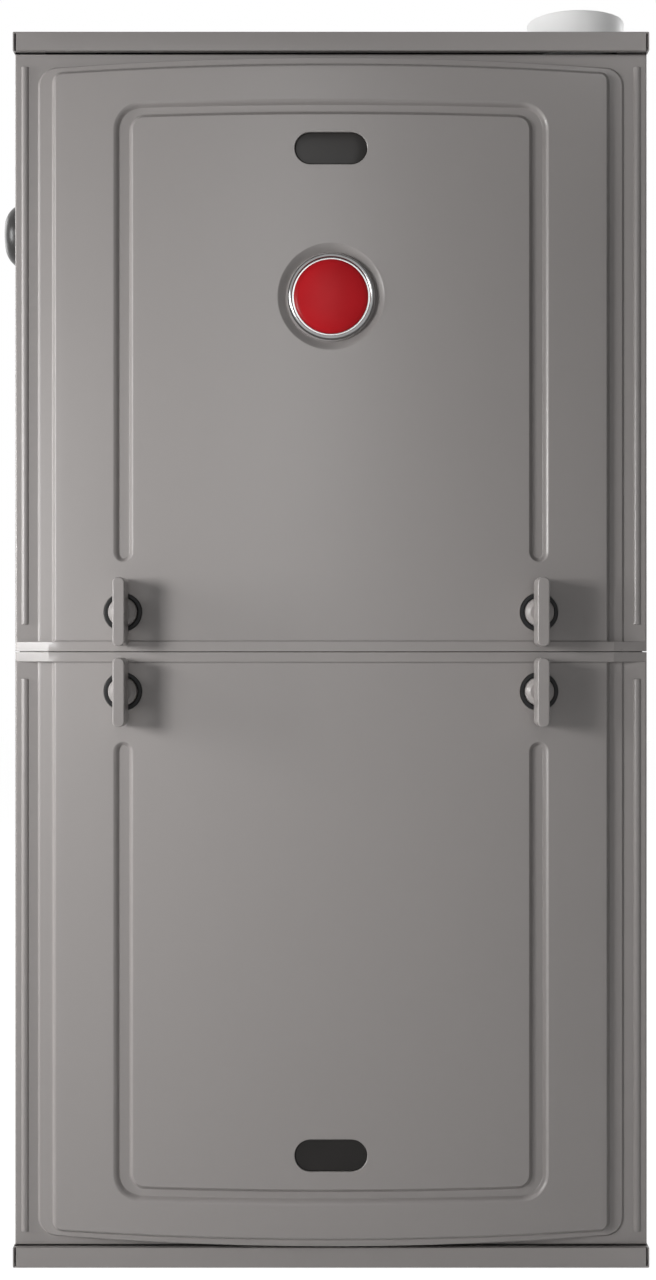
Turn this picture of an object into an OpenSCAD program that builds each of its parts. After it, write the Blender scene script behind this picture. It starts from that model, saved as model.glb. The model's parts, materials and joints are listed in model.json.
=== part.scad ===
// Forced air gas furnace: a condensing upflow cabinet with two lift-off doors on quarter-turn latches.
// Millimetres. The origin is the centre of the base's bottom face, +Z is up and the doors face -Y.

/* [Casing] */
// Width of the cabinet over its cap
case_w = 444.5; // [430:0.5:470]
// Depth of the cabinet over its cap
case_d = 724; // [715:1:760]
// Height of the cabinet to the top of the cap
case_h = 863.6; // [855:0.1:900]
// Thickness of the sheet steel
sheet = 1; // [0.8:0.1:1.2]
// Height of the cap's folded edge
cap_edge = 13.4; // [12:0.1:16]
// Height of the base pan's folded edge
base_edge = 14.2; // [12:0.1:16]
// Width of the relief slits at the ends of the cap's and base's front edges
relief_w = 1.2; // [0.6:0.1:2]
// Width of the side panels' folded front edges
front_fold = 18; // [14:1:24]
// Width of the supply air opening in the cap
supply_w = 370; // [330:1:380]
// Distance of the supply air opening from the cabinet's front
supply_front = 212; // [200:1:240]
// Distance of the supply air opening from the cabinet's back
supply_back = 36; // [28:1:60]
// Height of the duct lip round the supply air opening
duct_lip = 19; // [10:1:20]
// Width of the return air opening in the base
return_w = 350; // [320:1:370]
// Depth of the return air opening in the base
return_d = 560; // [500:1:600]
// Radius of the cabinet screws' shanks
screw_r = 2.1; // [1.6:0.1:2.5]
// Radius of the cabinet screws' heads
screw_head_r = 4.4; // [3.5:0.1:5]
// Height of the cabinet screws' heads
screw_head_h = 2.6; // [2:0.1:4]

/* [Doors] */
// Height of the seam between the two doors
seam_z = 430.4; // [425:0.1:440]
// Gap between the two doors
seam_gap = 1; // [0.6:0.1:2]
// Gap between the upper door and the cap's edge
door_top_gap = 0.5; // [0.3:0.1:1]
// Gap between a door and what it closes on
door_fit = 0.3; // [0.3:0.05:0.6]
// Distance of the doors' side edges inside the cap's ends
door_inset = 0.65; // [0.5:0.05:2]
// Distance of the doors' flat margin behind the cap's front
margin_set = 6; // [4:0.5:8]
// Depth of the doors' folded edges behind their margin
door_fold = 19; // [15:0.5:22]
// Radius of the doors' bow, about an upright axis
bow_r = 1560; // [1400:10:1800]
// How far the bow stands in front of the cap
bow_rise = 14; // [12:0.5:16]
// Width of the margin beside the raised panel
side_margin = 28.1; // [26:0.1:32]
// Height of the margin between the raised panel and the upper door's top
top_margin = 12.3; // [11:0.1:16]
// Height of the margin between the raised panel and the lower door's bottom
bottom_margin = 8.9; // [8:0.1:12]
// Rise of the raised panel's arched end
panel_crown = 2.9; // [1:0.1:4]
// Radius of the raised panel's corners
panel_corner = 10.5; // [8:0.5:14]
// Width of the terrace round the raised panel
terrace_w = 10.5; // [8:0.5:14]
// Height of the terrace beyond the raised panel's end, at its middle
terrace_reach = 5.5; // [4:0.5:7]
// Rise of the terrace's arched end
terrace_crown = 4.6; // [3:0.1:6]
// Depth of the terrace below the raised panel
terrace_step = 3.5; // [2:0.1:4]
// Height of the trim strip at the seam
strip_h = 6.8; // [5:0.1:9]
// How far the trim strip stands proud of the raised panel
strip_proud = 0.6; // [0.4:0.1:1]
// Slope of the trim strip's ends
strip_slope = 0.333; // [0.3:0.01:0.4]
// Distance of the pressed groove's legs from the middle
groove_x = 144.5; // [140:0.5:150]
// Width of the pressed groove
groove_w = 14.7; // [11:0.1:15]
// Width of the pressed groove along its end
groove_end_w = 11.8; // [9:0.1:13]
// Depth of the pressed groove
groove_depth = 4; // [2:0.5:5]
// Distance of the pressed groove from the raised panel's end
groove_margin = 24; // [20:0.5:30]
// Distance of the pressed groove's leg ends from the seam
groove_start = 62; // [56:1:80]
// Radius of the pressed groove's outer corners
groove_corner = 19; // [17:0.5:22]
// Distance of the side beads from the door's side edge
bead_x = 7.1; // [6:0.1:9]
// Width of the side beads
bead_w = 5; // [4:0.1:6]
// Height of the side beads
bead_h = 1.5; // [1:0.1:2]
// Distance of the side beads from the seam
bead_start = 19; // [14:1:30]
// Distance of the side beads from the door's far end
bead_end = 9.5; // [8:0.5:20]
// Length of the sight windows
window_l = 50; // [40:1:56]
// Height of the sight windows
window_h = 22; // [16:1:26]
// Distance of the sight windows from the raised panel's end
window_margin = 58.7; // [56:0.1:70]
// Radius of the badge's round recess
badge_recess_r = 36.2; // [34:0.1:40]
// Depth of the badge's round recess
badge_recess_d = 2.5; // [1:0.1:3]
// Distance of the badge from the raised panel's end
badge_margin = 161.2; // [150:0.1:170]
// Outer radius of the badge's ring
badge_ring_r = 30; // [28:0.1:32]
// Radius of the badge's disc
badge_disc_r = 25.3; // [22:0.1:26]
// Height of the badge's ring
badge_ring_h = 4.5; // [3:0.1:6]
// Height of the badge's disc at its rim
badge_disc_h = 2.6; // [2:0.1:4]
// Height of the badge disc's dome
badge_dome = 2.4; // [1:0.1:3]
// Thickness of the insulation pad in the upper door
pad_t = 8; // [5:0.5:12]

/* [Latches] */
// Distance of the latch knobs from the seam
knob_v = 27.5; // [26:0.5:32]
// Radius of the knobs' hubs
hub_r = 10; // [9:0.1:11]
// Depth of the knobs' hubs behind the door's surface
hub_back = 6.5; // [5:0.5:7]
// Width of the knobs' handles
handle_w = 8.4; // [7:0.1:10]
// Length of the knobs' handles
handle_l = 47; // [40:0.5:50]
// Reach of the knobs' handles in front of the door
handle_reach = 31; // [24:0.5:34]
// Space between the knobs' handles and the door
handle_gap = 6; // [5:0.5:8]
// Outer radius of the knobs' bushes
bush_r = 13.25; // [12.5:0.05:15]
// Radius of the knobs' stems
stem_r = 5; // [4:0.1:5.5]
// Running clearance of a turning part in its bush
turn_fit = 0.08; // [0.05:0.01:0.1]
// Length of the latch wings
wing_l = 22; // [18:1:24]
// Width of the latch wings
wing_w = 5; // [4:0.1:6]
// Thickness of the latch wings
wing_t = 3; // [2:0.1:4]
// Clearance of the latch wings in their slots
wing_fit = 0.8; // [0.5:0.1:1.2]

/* [Frame and deck] */
// Height of the divider rail above and below the seam
rail_half = 45.5; // [42:0.5:50]
// Depth of the divider rail
rail_d = 20; // [16:0.5:22]
// Depth of the burner vestibule behind the cabinet's front
vestibule_d = 172; // [168:1:180]

/* [Vent and gas connections] */
// Distance of the vent from the cabinet's middle
vent_x = 179.7; // [174:0.1:181]
// Distance of the vent and the air intake behind the cabinet's front
vent_d = 75; // [72:0.5:80]
// Outer radius of the vent pipe
pipe_r = 30.15; // [29:0.05:30.5]
// Wall of the vent pipe
pipe_wall = 3.9; // [3:0.1:5]
// Radial clearance of the vent pipe in its sockets
socket_fit = 0.15; // [0.1:0.01:0.25]
// Outer radius of the vent coupling
coupling_r = 35.35; // [34:0.05:36]
// Height of the vent coupling above the cap
coupling_up = 27.7; // [20:0.1:32]
// Depth of the vent coupling below the cap
coupling_down = 46; // [40:1:60]
// Height of the stop ring inside the vent coupling, below the cap
stop_down = 10.6; // [6:0.1:16]
// Distance of the air intake from the cabinet's middle
intake_x = 150; // [140:1:160]
// Height of the air intake collar above the cap
intake_up = 12; // [6:1:18]
// Distance of the gas inlet behind the cabinet's front
gas_d = 60; // [56:0.5:64]
// Distance of the gas inlet below the burners
gas_drop = 53; // [45:1:60]
// Radius of the gas valve's inlet thread
gas_r = 10.5; // [10:0.1:10.8]
// Radius of the gas grommet's hole
grommet_bore_r = 11.2; // [11:0.1:12]
// Radius of the gas grommet's neck
grommet_neck_r = 19; // [17:0.5:20]
// Radius of the gas grommet's dome
grommet_r = 24.5; // [22:0.5:28]
// Height of the gas grommet's dome
grommet_h = 14.2; // [10:0.1:16]
// Radius of the electrical entry hole
conduit_r = 11.1; // [10:0.1:12]
// Height of the electrical entry hole
conduit_z = 350; // [345:1:360]
// Radius of the condensate drain's hole in the side panel
drain_hole_r = 16; // [15:0.5:18]
// Radius of the condensate outlet's bore
drain_r = 10.8; // [10:0.1:11.5]
// Distance of the condensate trap behind the cabinet's front
trap_d = 92; // [88:1:98]
// Height of the condensate outlet above the deck
drain_up = 24; // [20:1:28]
// Width of the condensate trap
trap_w = 42; // [36:1:46]
// Height of the condensate trap
trap_h = 88; // [80:1:90]
// Distance of the electrical entry behind the cabinet's front
conduit_d = 82; // [78:1:90]

/* [Burners and heat exchangers] */
// Distance between neighbouring heat exchanger tubes
tube_pitch = 84; // [80:1:90]
// Outer radius of the heat exchanger tubes
tube_r = 22; // [20:0.5:23]
// Wall of the heat exchanger tubes
tube_wall = 1.2; // [1:0.1:1.5]
// Distance of the burners below the cap
burner_drop = 78.6; // [74:0.1:84]
// Gap between the heat exchanger tubes and the secondary heat exchanger
tube_gap = 20; // [16:1:30]
// Distance of the rear bends in front of the cabinet's back
bend_back = 112; // [108:1:130]
// Gap between the front bends and the vestibule panel
bend_gap = 21; // [16:1:40]
// Depth of the burner box
burner_box_d = 60; // [56:1:61]
// Half width of the burner box
burner_box_x = 165; // [160:1:172]
// Radius of the pressure switch
switch_disc_r = 35; // [30:1:36]
// Thickness of the pressure switch
switch_disc_d = 32; // [26:1:36]
// Half height of the burner box
burner_box_h = 50; // [42:1:50]
// Radius of the burners' flanges
burner_r = 18; // [16:0.5:20]
// Radius of the burners' throats
throat_r = 8; // [7:0.5:10]
// Outer radius of the gas manifold
manifold_r = 10.65; // [10:0.05:11]
// Distance of the gas manifold in front of the burner box
manifold_gap = 30; // [28:0.5:31]
// Height of the secondary heat exchanger above the deck
coil_up = 21; // [18:1:30]
// Height of the secondary heat exchanger
coil_h = 108; // [100:1:112]
// Half width of the secondary heat exchanger
coil_x = 175; // [165:1:190]
// Distance of the secondary heat exchanger's outer tubes from the middle
coil_tube_x = 102; // [90:1:104]
// Number of tubes across the secondary heat exchanger
coil_tubes = 9; // [6:1:10]
// Outer radius of the secondary heat exchanger's tubes
coil_tube_r = 6.5; // [5:0.5:7]
// Number of fins on the secondary heat exchanger
coil_fins = 14; // [8:1:18]

/* [Inducer] */
// Distance of the inducer from the cabinet's middle
inducer_x = 20; // [15:1:22]
// Height of the inducer above the deck
inducer_up = 89; // [88:1:94]
// Outer radius of the inducer's housing
inducer_r = 80; // [76:1:82]
// Depth of the inducer's housing
inducer_d = 50; // [48:1:52]
// Radius of the inducer's air inlet
inducer_inlet_r = 30; // [26:1:31]
// Wall of the inducer's housing
inducer_wall = 2; // [1.5:0.1:2.5]
// Radius of the inducer's wheel
inducer_wheel_r = 62; // [56:1:66]
// Distance of the collector box's left end from the middle
collector_left = 130; // [124:1:136]
// Distance of the collector box's right end from the middle
collector_right = 115; // [112:1:117]
// Depth of the collector box
collector_d = 72; // [70:1:74]
// Radius of the inducer's motor
inducer_motor_r = 42; // [38:1:44]
// Length of the inducer's motor
inducer_motor_l = 38; // [34:1:40]
// Radius of the inducer's shaft
inducer_shaft_r = 4; // [3:0.1:5]
// Radius of the vent elbow's bend
elbow_bend = 45; // [42:1:48]

/* [Blower] */
// Radius of the blower's wheel
wheel_r = 127; // [120:1:130]
// Width of the blower's wheel
wheel_w = 200; // [180:2:206]
// Number of blades on the blower's wheel
wheel_blades = 36; // [24:1:44]
// Width of the blower's housing
blower_w = 252; // [244:1:264]
// Distance of the blower's shaft behind the cabinet's middle
blower_y = 20; // [10:1:30]
// Distance of the blower's shaft below the deck
blower_drop = 215; // [212:1:220]
// Smallest radius of the blower's scroll
scroll_start_r = 140; // [136:1:144]
// Largest radius of the blower's scroll
scroll_end_r = 200; // [196:1:204]
// Radius of the blower's air inlets
inlet_r = 108; // [100:1:112]
// Radius of the blower's motor
motor_r = 68; // [60:1:72]
// Length of the blower's motor
motor_l = 120; // [100:1:125]
// Radius of the blower's shaft
shaft_r = 6.35; // [5:0.05:8]

/* [Controls] */
// Width of the control bracket
bracket_w = 300; // [290:1:310]
// Height of the control bracket
bracket_h = 160; // [150:1:170]
// Width of the control board
board_w = 150; // [140:1:155]
// Height of the control board
board_h = 120; // [110:1:125]
// Distance of the door switch from the cabinet's middle
switch_x = 60; // [50:1:70]
// Distance of the door switch below the seam
switch_drop = 26; // [24:0.5:30]
// Reach of the door switch's plunger in front of the divider rail
plunger_reach = 9; // [6:0.5:12]
// Travel of the door switch's plunger
switch_travel = 2.5; // [2:0.1:3]
// Radius of the door switch's plunger
plunger_r = 3; // [2.5:0.1:3.5]

/* [Hidden] */
$fn = 64;
fine = 720; // facets of the bow's large circle

paint = [0.56, 0.54, 0.53];
steel = [0.72, 0.73, 0.74];
dark = [0.16, 0.16, 0.17];

// Places worked out from the casing
front_y = -case_d / 2;
back_y = case_d / 2;
wall_x = case_w / 2 - sheet;
room_x = wall_x - sheet;
room_back = back_y - 2 * sheet;
door_half = case_w / 2 - door_inset;
margin_y = front_y + margin_set;
fold_y = margin_y + door_fold;
frame_y = fold_y + door_fit;
rail_y = frame_y + sheet;
vestibule_y = front_y + vestibule_d;
room_top = case_h - sheet;
deck_top = seam_z + sheet;
upper_end = case_h - cap_edge - door_top_gap - seam_z;
lower_end = seam_z - base_edge - door_fit;
apex_y = front_y - bow_rise;
panel_half = door_half - side_margin;
terrace_half = panel_half + terrace_w;
vent_y = front_y + vent_d;
gas_y = front_y + gas_d;
burner_z = case_h - burner_drop;
gas_z = burner_z - gas_drop;
intake_r = pipe_r + socket_fit + 2.7;
conduit_y = front_y + conduit_d;
tube_places = [for (i = [-1.5 : 1.5]) i * tube_pitch];
coil_z0 = deck_top + coil_up;
coil_z1 = coil_z0 + coil_h;
pass_drop = (burner_z - coil_z1 - tube_r - tube_gap) / 2;
collector_x0 = -collector_left;
collector_x1 = collector_right;
collector_y = vestibule_y - collector_d;
limit_z = (burner_z - 2 * pass_drop + burner_z - pass_drop) / 2;
trap_y = front_y + trap_d;
drain_z = deck_top + drain_up;
port_y = collector_y + 17;
port_z = coil_z0 + 10;
cutoff_a = 70;
cutoff_y = scroll_start_r * cos(cutoff_a);
blower_z = seam_z - blower_drop;
switch_z = seam_z - switch_drop;
plunger_y = rail_y - plunger_reach;
strap_y = plunger_y - door_fit;

// A box between two opposite corners
module block(lo, hi) {
    translate(lo) cube(hi - lo);
}

// A block on one side of the cabinet: x values are distances from the middle
module side_block(side, lo, hi) {
    if (side > 0) block(lo, hi);
    else block([-hi[0], lo[1], lo[2]], [-lo[0], hi[1], hi[2]]);
}

// A round bar along Y, from y0 back to y1
module bar_y(x, z, r, y0, y1) {
    translate([x, y1, z]) rotate([90, 0, 0]) cylinder(r = r, h = y1 - y0);
}

// A round bar along X, from x0 to x1
module bar_x(y, z, r, x0, x1) {
    translate([x0, y, z]) rotate([0, 90, 0]) cylinder(r = r, h = x1 - x0);
}

// A round bar along Z, from z0 to z1
module bar_z(x, y, r, z0, z1) {
    translate([x, y, z0]) cylinder(r = r, h = z1 - z0);
}

// An outline in the XZ plane, extruded from y0 back to y1
module slab(points, y0, y1) {
    translate([0, y1, 0]) rotate([90, 0, 0]) linear_extrude(height = y1 - y0) polygon(points);
}

// A bar with round ends along X, extruded from y0 back to y1
module slot_y(x, z, length, height, y0, y1) {
    reach = (length - height) / 2;
    block([x - reach, y0, z - height / 2], [x + reach, y1, z + height / 2]);
    for (side = [-1, 1]) bar_y(x + side * reach, z, height / 2, y0, y1);
}

// A bar with round ends along Z, extruded from y0 back to y1
module slot_yz(x, z, width, height, y0, y1) {
    reach = (height - width) / 2;
    block([x - width / 2, y0, z - reach], [x + width / 2, y1, z + reach]);
    for (side = [-1, 1]) bar_y(x, z + side * reach, width / 2, y0, y1);
}

// Screw rows: heights and distances from the cabinet's front along its sides and across its back
screw_z = [base_edge / 2, case_h - cap_edge / 2];
screw_rows = 4;
screw_step = (case_d - 160) / (screw_rows - 1);
function screw_row_y(i) = front_y + 80 + i * screw_step;
back_screws = 3;
back_step = (case_w - 90) / (back_screws - 1);
function back_screw_x(i) = -case_w / 2 + 45 + i * back_step;

// Everything that the cabinet screws pass through is drilled with this
module screw_shanks(r, inner, outer) {
    for (z = screw_z) {
        for (i = [0 : screw_rows - 1]) {
            bar_x(screw_row_y(i), z, r, inner, outer);
            bar_x(screw_row_y(i), z, r, -outer, -inner);
        }
        for (i = [0 : back_screws - 1])
            bar_y(back_screw_x(i), z, r, back_y - case_w / 2 + inner, back_y - case_w / 2 + outer);
    }
}

screw_tail = 3;
screw_in = case_w / 2 - 3 * sheet - screw_tail;
screw_hole = screw_r + 0.1;

// A shallow tray: the base pan, and the cap upside down
module tray(edge) {
    difference() {
        block([-case_w / 2, front_y, 0], [case_w / 2, back_y, edge]);
        block([-wall_x, front_y + sheet, sheet], [wall_x, back_y - sheet, edge + 1]);
        for (side = [-1, 1])
            side_block(side, [wall_x - relief_w, front_y - 1, sheet], [wall_x, front_y + sheet, edge + 1]);
    }
}

module base_pan() {
    color(paint)
    difference() {
        tray(base_edge);
        block([-return_w / 2, -return_d / 2, -1], [return_w / 2, return_d / 2, sheet + 1]);
        screw_shanks(screw_hole, screw_in, case_w / 2 + 1);
    }
}

module top_plate() {
    supply_y0 = front_y + supply_front;
    supply_y1 = back_y - supply_back;
    color(paint)
    difference() {
        union() {
            translate([0, 0, case_h]) mirror([0, 0, 1]) tray(cap_edge);
            block([-supply_w / 2 - sheet, supply_y0 - sheet, case_h - sheet],
                  [supply_w / 2 + sheet, supply_y1 + sheet, case_h + duct_lip]);
        }
        block([-supply_w / 2, supply_y0, case_h - 5], [supply_w / 2, supply_y1, case_h + duct_lip + 1]);
        bar_z(vent_x, vent_y, coupling_r + door_fit, case_h - 5, case_h + 1);
        bar_z(-intake_x, vent_y, intake_r + door_fit, case_h - 5, case_h + 1);
        screw_shanks(screw_hole, screw_in, case_w / 2 + 1);
    }
}

// A side panel with its folded front edge and the holes that belong to its side
module side_panel(side) {
    color(paint)
    difference() {
        union() {
            side_block(side, [room_x, frame_y, sheet], [wall_x, room_back, room_top]);
            side_block(side, [wall_x - front_fold, frame_y, sheet], [wall_x, rail_y, room_top]);
        }
        screw_shanks(screw_hole, screw_in, case_w / 2 + 1);
        if (side < 0) {
            bar_x(gas_y, gas_z, grommet_neck_r + door_fit, -wall_x - 1, -room_x + 1);
        } else {
            bar_x(conduit_y, conduit_z, conduit_r, room_x - 1, wall_x + 1);
            bar_x(trap_y, drain_z, drain_hole_r, room_x - 1, wall_x + 1);
        }
    }
}

module side_panel_left() {
    side_panel(-1);
}

module side_panel_right() {
    side_panel(1);
}

module back_panel() {
    color(paint)
    difference() {
        block([-wall_x, room_back, sheet], [wall_x, back_y - sheet, room_top]);
        screw_shanks(screw_hole, screw_in, case_w / 2 + 1);
    }
}

// Hex screws that join the cap and the base to the panels
module cabinet_screws() {
    head = screw_head_h;
    color(steel)
    union() {
        screw_shanks(screw_r, case_w / 2 - 2 * sheet - screw_tail, case_w / 2 + 0.5);
        for (z = screw_z) {
            for (i = [0 : screw_rows - 1], side = [-1, 1])
                translate([side * (case_w / 2 + head / 2), screw_row_y(i), z]) rotate([0, 90, 0])
                    cylinder(r = screw_head_r, h = head, center = true, $fn = 6);
            for (i = [0 : back_screws - 1])
                translate([back_screw_x(i), back_y + head / 2, z]) rotate([90, 0, 0])
                    cylinder(r = screw_head_r, h = head, center = true, $fn = 6);
        }
    }
}

// A channel across the front, which the doors' latches lock behind
module divider_rail() {
    low = seam_z - rail_half;
    high = seam_z + rail_half;
    color(paint)
    difference() {
        block([-room_x, rail_y, low], [room_x, rail_y + rail_d, high]);
        block([-room_x - 1, rail_y + sheet, low + sheet], [room_x + 1, rail_y + rail_d + 1, high - sheet]);
        for (x = [-groove_x, groove_x], z = [seam_z - knob_v, seam_z + knob_v]) {
            block([x - wing_w / 2 - wing_fit, rail_y - 1, z - wing_l / 2 - wing_fit],
                  [x + wing_w / 2 + wing_fit, rail_y + sheet + 1, z + wing_l / 2 + wing_fit]);
            bar_y(x, z, stem_r + wing_fit / 2, rail_y - 1, rail_y + sheet + 1);
        }
        bar_y(switch_x, switch_z, plunger_r + 1, rail_y - 1, rail_y + sheet + 1);
    }
}

// The floor of the heating compartment, with the blower's outlet
module blower_deck() {
    color(steel)
    difference() {
        block([-room_x, rail_y + sheet, seam_z], [room_x, room_back, deck_top]);
        block([-blower_w / 2 + 3, blower_y - scroll_end_r + 3, seam_z - 1],
              [blower_w / 2 - 3, blower_y + cutoff_y - 3, deck_top + 1]);
    }
}

// The wall between the burner vestibule and the heat exchangers
module vestibule_panel() {
    color(steel)
    difference() {
        block([-room_x, vestibule_y, deck_top], [room_x, vestibule_y + sheet, room_top]);
        for (x = tube_places) bar_y(x, burner_z, tube_r - 1, vestibule_y - 1, vestibule_y + sheet + 1);
        block([collector_x0 + 10, vestibule_y - 1, coil_z0 + 6],
              [collector_x1 - 10, vestibule_y + sheet + 1, coil_z1 - 6]);
        bar_y(0, limit_z, 3.4, vestibule_y - 1, vestibule_y + sheet + 1);
    }
}

// A round rubber bush in the left side panel, for the gas pipe
module gas_grommet() {
    rim_r = grommet_bore_r + 0.8;
    lip = 4;
    bulge = (grommet_r * grommet_r - rim_r * rim_r + grommet_h * grommet_h) / (2 * grommet_h);
    dome_r = sqrt(rim_r * rim_r + bulge * bulge);
    color(dark)
    difference() {
        union() {
            intersection() {
                bar_x(gas_y, gas_z, grommet_r, -wall_x - grommet_h, -wall_x);
                translate([-wall_x - grommet_h + bulge, gas_y, gas_z]) sphere(r = dome_r);
            }
            bar_x(gas_y, gas_z, grommet_neck_r, -wall_x - 1, -room_x + 1);
            bar_x(gas_y, gas_z, grommet_neck_r + 3, -room_x, -room_x + lip);
        }
        bar_x(gas_y, gas_z, grommet_bore_r, -wall_x - grommet_h - 1, -room_x + lip + 1);
    }
}

// Surface of the doors' bow at a distance from the middle
function bow_y(x) = apex_y + bow_r - sqrt(bow_r * bow_r - x * x);

// Outline of a raised form on a door: straight sides, round corners and an arched end.
// Heights are distances from the seam. The inset draws the whole outline in.
function arch(half, reach, rise, corner, start, inset) =
    let (
        w = half - inset,
        top = reach - inset,
        r = corner - inset > 1 ? corner - inset : 1,
        shoulder = w - r,
        centre_z = top - rise * pow(shoulder / w, 2) - r
    ) concat(
        [[w, start + inset]],
        [for (a = [0 : 15 : 75]) [shoulder + r * cos(a), centre_z + r * sin(a)]],
        [for (i = [12 : -1 : -12]) [shoulder * i / 12, top - rise * pow(shoulder * i / 12 / w, 2)]],
        [for (a = [75 : -15 : 0]) [-shoulder - r * cos(a), centre_z + r * sin(a)]],
        [[-w, start + inset]]
    );

// The space behind the bow, with its surface set back
module behind_bow(set_back, high) {
    translate([0, apex_y + bow_r, -1]) cylinder(r = bow_r - set_back, h = high + 2, $fn = fine);
}

// The pressed groove's plan: a band with two legs that end in half rounds
module groove_band(reach, spare, y0, y1) {
    out = groove_w / 2 + spare;
    mid = groove_start + groove_w / 2;
    inner_reach = reach - groove_end_w;
    difference() {
        slab(arch(groove_x + out, reach + spare, 1, groove_corner + spare, mid, 0), y0, y1);
        slab(arch(groove_x - out, inner_reach - spare, 1, groove_corner - groove_end_w, mid - 1, 0),
             y0 - 1, y1 + 1);
    }
    for (side = [-1, 1]) bar_y(side * groove_x, mid, out, y0, y1);
}

// The body of a door, from the seam up: t = 0 is the outside, and the sheet's thickness the inside
module door_body(end, margin, t) {
    far_y = apex_y - 10;
    root_y = margin_y + 4;
    reach = end - margin;
    hidden = t > 0 ? 1 : 0;
    start = seam_gap / 2;
    bead_round = (bead_w * bead_w / 4 + bead_h * bead_h) / (2 * bead_h);
    slope_w = (margin_y - far_y) / strip_slope;
    difference() {
        union() {
            block([-door_half + t, margin_y + t, start + t], [door_half - t, fold_y + hidden, end - t]);
            intersection() {
                slab(arch(terrace_half, reach + terrace_reach, terrace_crown, panel_corner + 1.5, start, t),
                     far_y, root_y);
                behind_bow(terrace_step + t, end);
            }
            intersection() {
                slab(arch(panel_half, reach, panel_crown, panel_corner, start, t), far_y, root_y);
                behind_bow(t, end);
            }
            intersection() {
                translate([0, 0, start + t]) linear_extrude(height = strip_h - 2 * t)
                    polygon([
                        [-door_half + t, root_y], [-door_half + t, margin_y + t],
                        [-door_half + slope_w + t, far_y + t], [door_half - slope_w - t, far_y + t],
                        [door_half - t, margin_y + t], [door_half - t, root_y]
                    ]);
                behind_bow(t - strip_proud, end);
            }
            if (t == 0) for (side = [-1, 1])
                bar_z(side * (door_half - bead_x), margin_y + bead_round - bead_h, bead_round,
                      bead_start, end - bead_end);
        }
        difference() {
            groove_band(reach - groove_margin, t, far_y - 1, root_y);
            behind_bow(groove_depth + t, end);
        }
    }
}

// A pressed steel door, from the seam up
module door_shell(end, margin, badge) {
    badge_v = end - margin - badge_margin;
    floor_y = apex_y + badge_recess_d;
    difference() {
        door_body(end, margin, 0);
        difference() {
            door_body(end, margin, sheet);
            if (badge) bar_y(0, badge_v, badge_recess_r + sheet, apex_y - 9, floor_y + sheet);
        }
        if (badge) bar_y(0, badge_v, badge_recess_r, apex_y - 9, floor_y);
        for (side = [-1, 1]) bar_y(side * groove_x, knob_v, bush_r + 0.1, apex_y - 9, margin_y);
        slot_y(0, end - margin - window_margin, window_l + 0.3, window_h + 0.3, apex_y - 9, margin_y);
    }
}

// Places a form drawn from the seam up on the upper or the lower door
module on_door(upper) {
    if (upper) translate([0, 0, seam_z]) children();
    else translate([0, 0, seam_z]) mirror([0, 0, 1]) children();
}

module upper_door() {
    color(paint) on_door(true) door_shell(upper_end, top_margin, true);
}

// The lower door also carries a strap that holds the door switch in
module lower_door() {
    strap_half = 10;
    color(paint)
    union() {
        on_door(false) door_shell(lower_end, bottom_margin, false);
        intersection() {
            on_door(false) door_body(lower_end, bottom_margin, 0);
            difference() {
                block([switch_x - strap_half, apex_y - 1, switch_z - 8],
                      [switch_x + strap_half, strap_y, switch_z + 8]);
                block([switch_x - strap_half + sheet, apex_y - 2, switch_z - 9],
                      [switch_x + strap_half - sheet, strap_y - sheet, switch_z + 9]);
            }
        }
    }
}

// A dark lens in a door's sight opening, held by a flange behind the door
module sight_window(reach) {
    v = reach - window_margin;
    flange_y = apex_y + sheet + 0.35;
    slot_y(0, v, window_l, window_h, apex_y + 0.8, flange_y + 0.1);
    slot_y(0, v, window_l + 8, window_h + 8, flange_y, flange_y + 1.5);
}

module upper_window() {
    color(dark) on_door(true) sight_window(upper_end - top_margin);
}

module lower_window() {
    color(dark) on_door(false) sight_window(lower_end - bottom_margin);
}

// A bush in the door that the knob's hub and stem turn in, with a flange behind the door
module latch_bush(side) {
    x = side * groove_x;
    skin_y = bow_y(groove_x);
    difference() {
        union() {
            bar_y(x, knob_v, bush_r, skin_y - 0.8, skin_y + 12);
            bar_y(x, knob_v, bush_r + 2.8, skin_y + 3.2, skin_y + 5.2);
        }
        bar_y(x, knob_v, hub_r + 0.3, skin_y - 2, skin_y + hub_back + 0.3);
        bar_y(x, knob_v, stem_r + turn_fit, skin_y, skin_y + 13);
    }
}

module upper_bushes() {
    color(dark) on_door(true) for (side = [-1, 1]) latch_bush(side);
}

module lower_bushes() {
    color(dark) on_door(false) for (side = [-1, 1]) latch_bush(side);
}

// A quarter-turn knob: a handle across a round hub, a stem through the door, and a latch wing
module latch_knob(side) {
    x = side * groove_x;
    skin_y = bow_y(groove_x);
    wing_y = rail_y + sheet + 1.5;
    bar_y(x, knob_v, hub_r, skin_y - handle_gap - 2, skin_y + hub_back);
    slot_yz(x, knob_v, handle_w, handle_l, skin_y - handle_reach, skin_y - handle_gap);
    bar_y(x, knob_v, stem_r, skin_y, wing_y + wing_t);
    block([x - wing_w / 2, wing_y, knob_v - wing_l / 2], [x + wing_w / 2, wing_y + wing_t, knob_v + wing_l / 2]);
}

module knob_upper_left() {
    color(paint) on_door(true) latch_knob(-1);
}

module knob_upper_right() {
    color(paint) on_door(true) latch_knob(1);
}

module knob_lower_left() {
    color(paint) on_door(false) latch_knob(-1);
}

module knob_lower_right() {
    color(paint) on_door(false) latch_knob(1);
}

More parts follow.
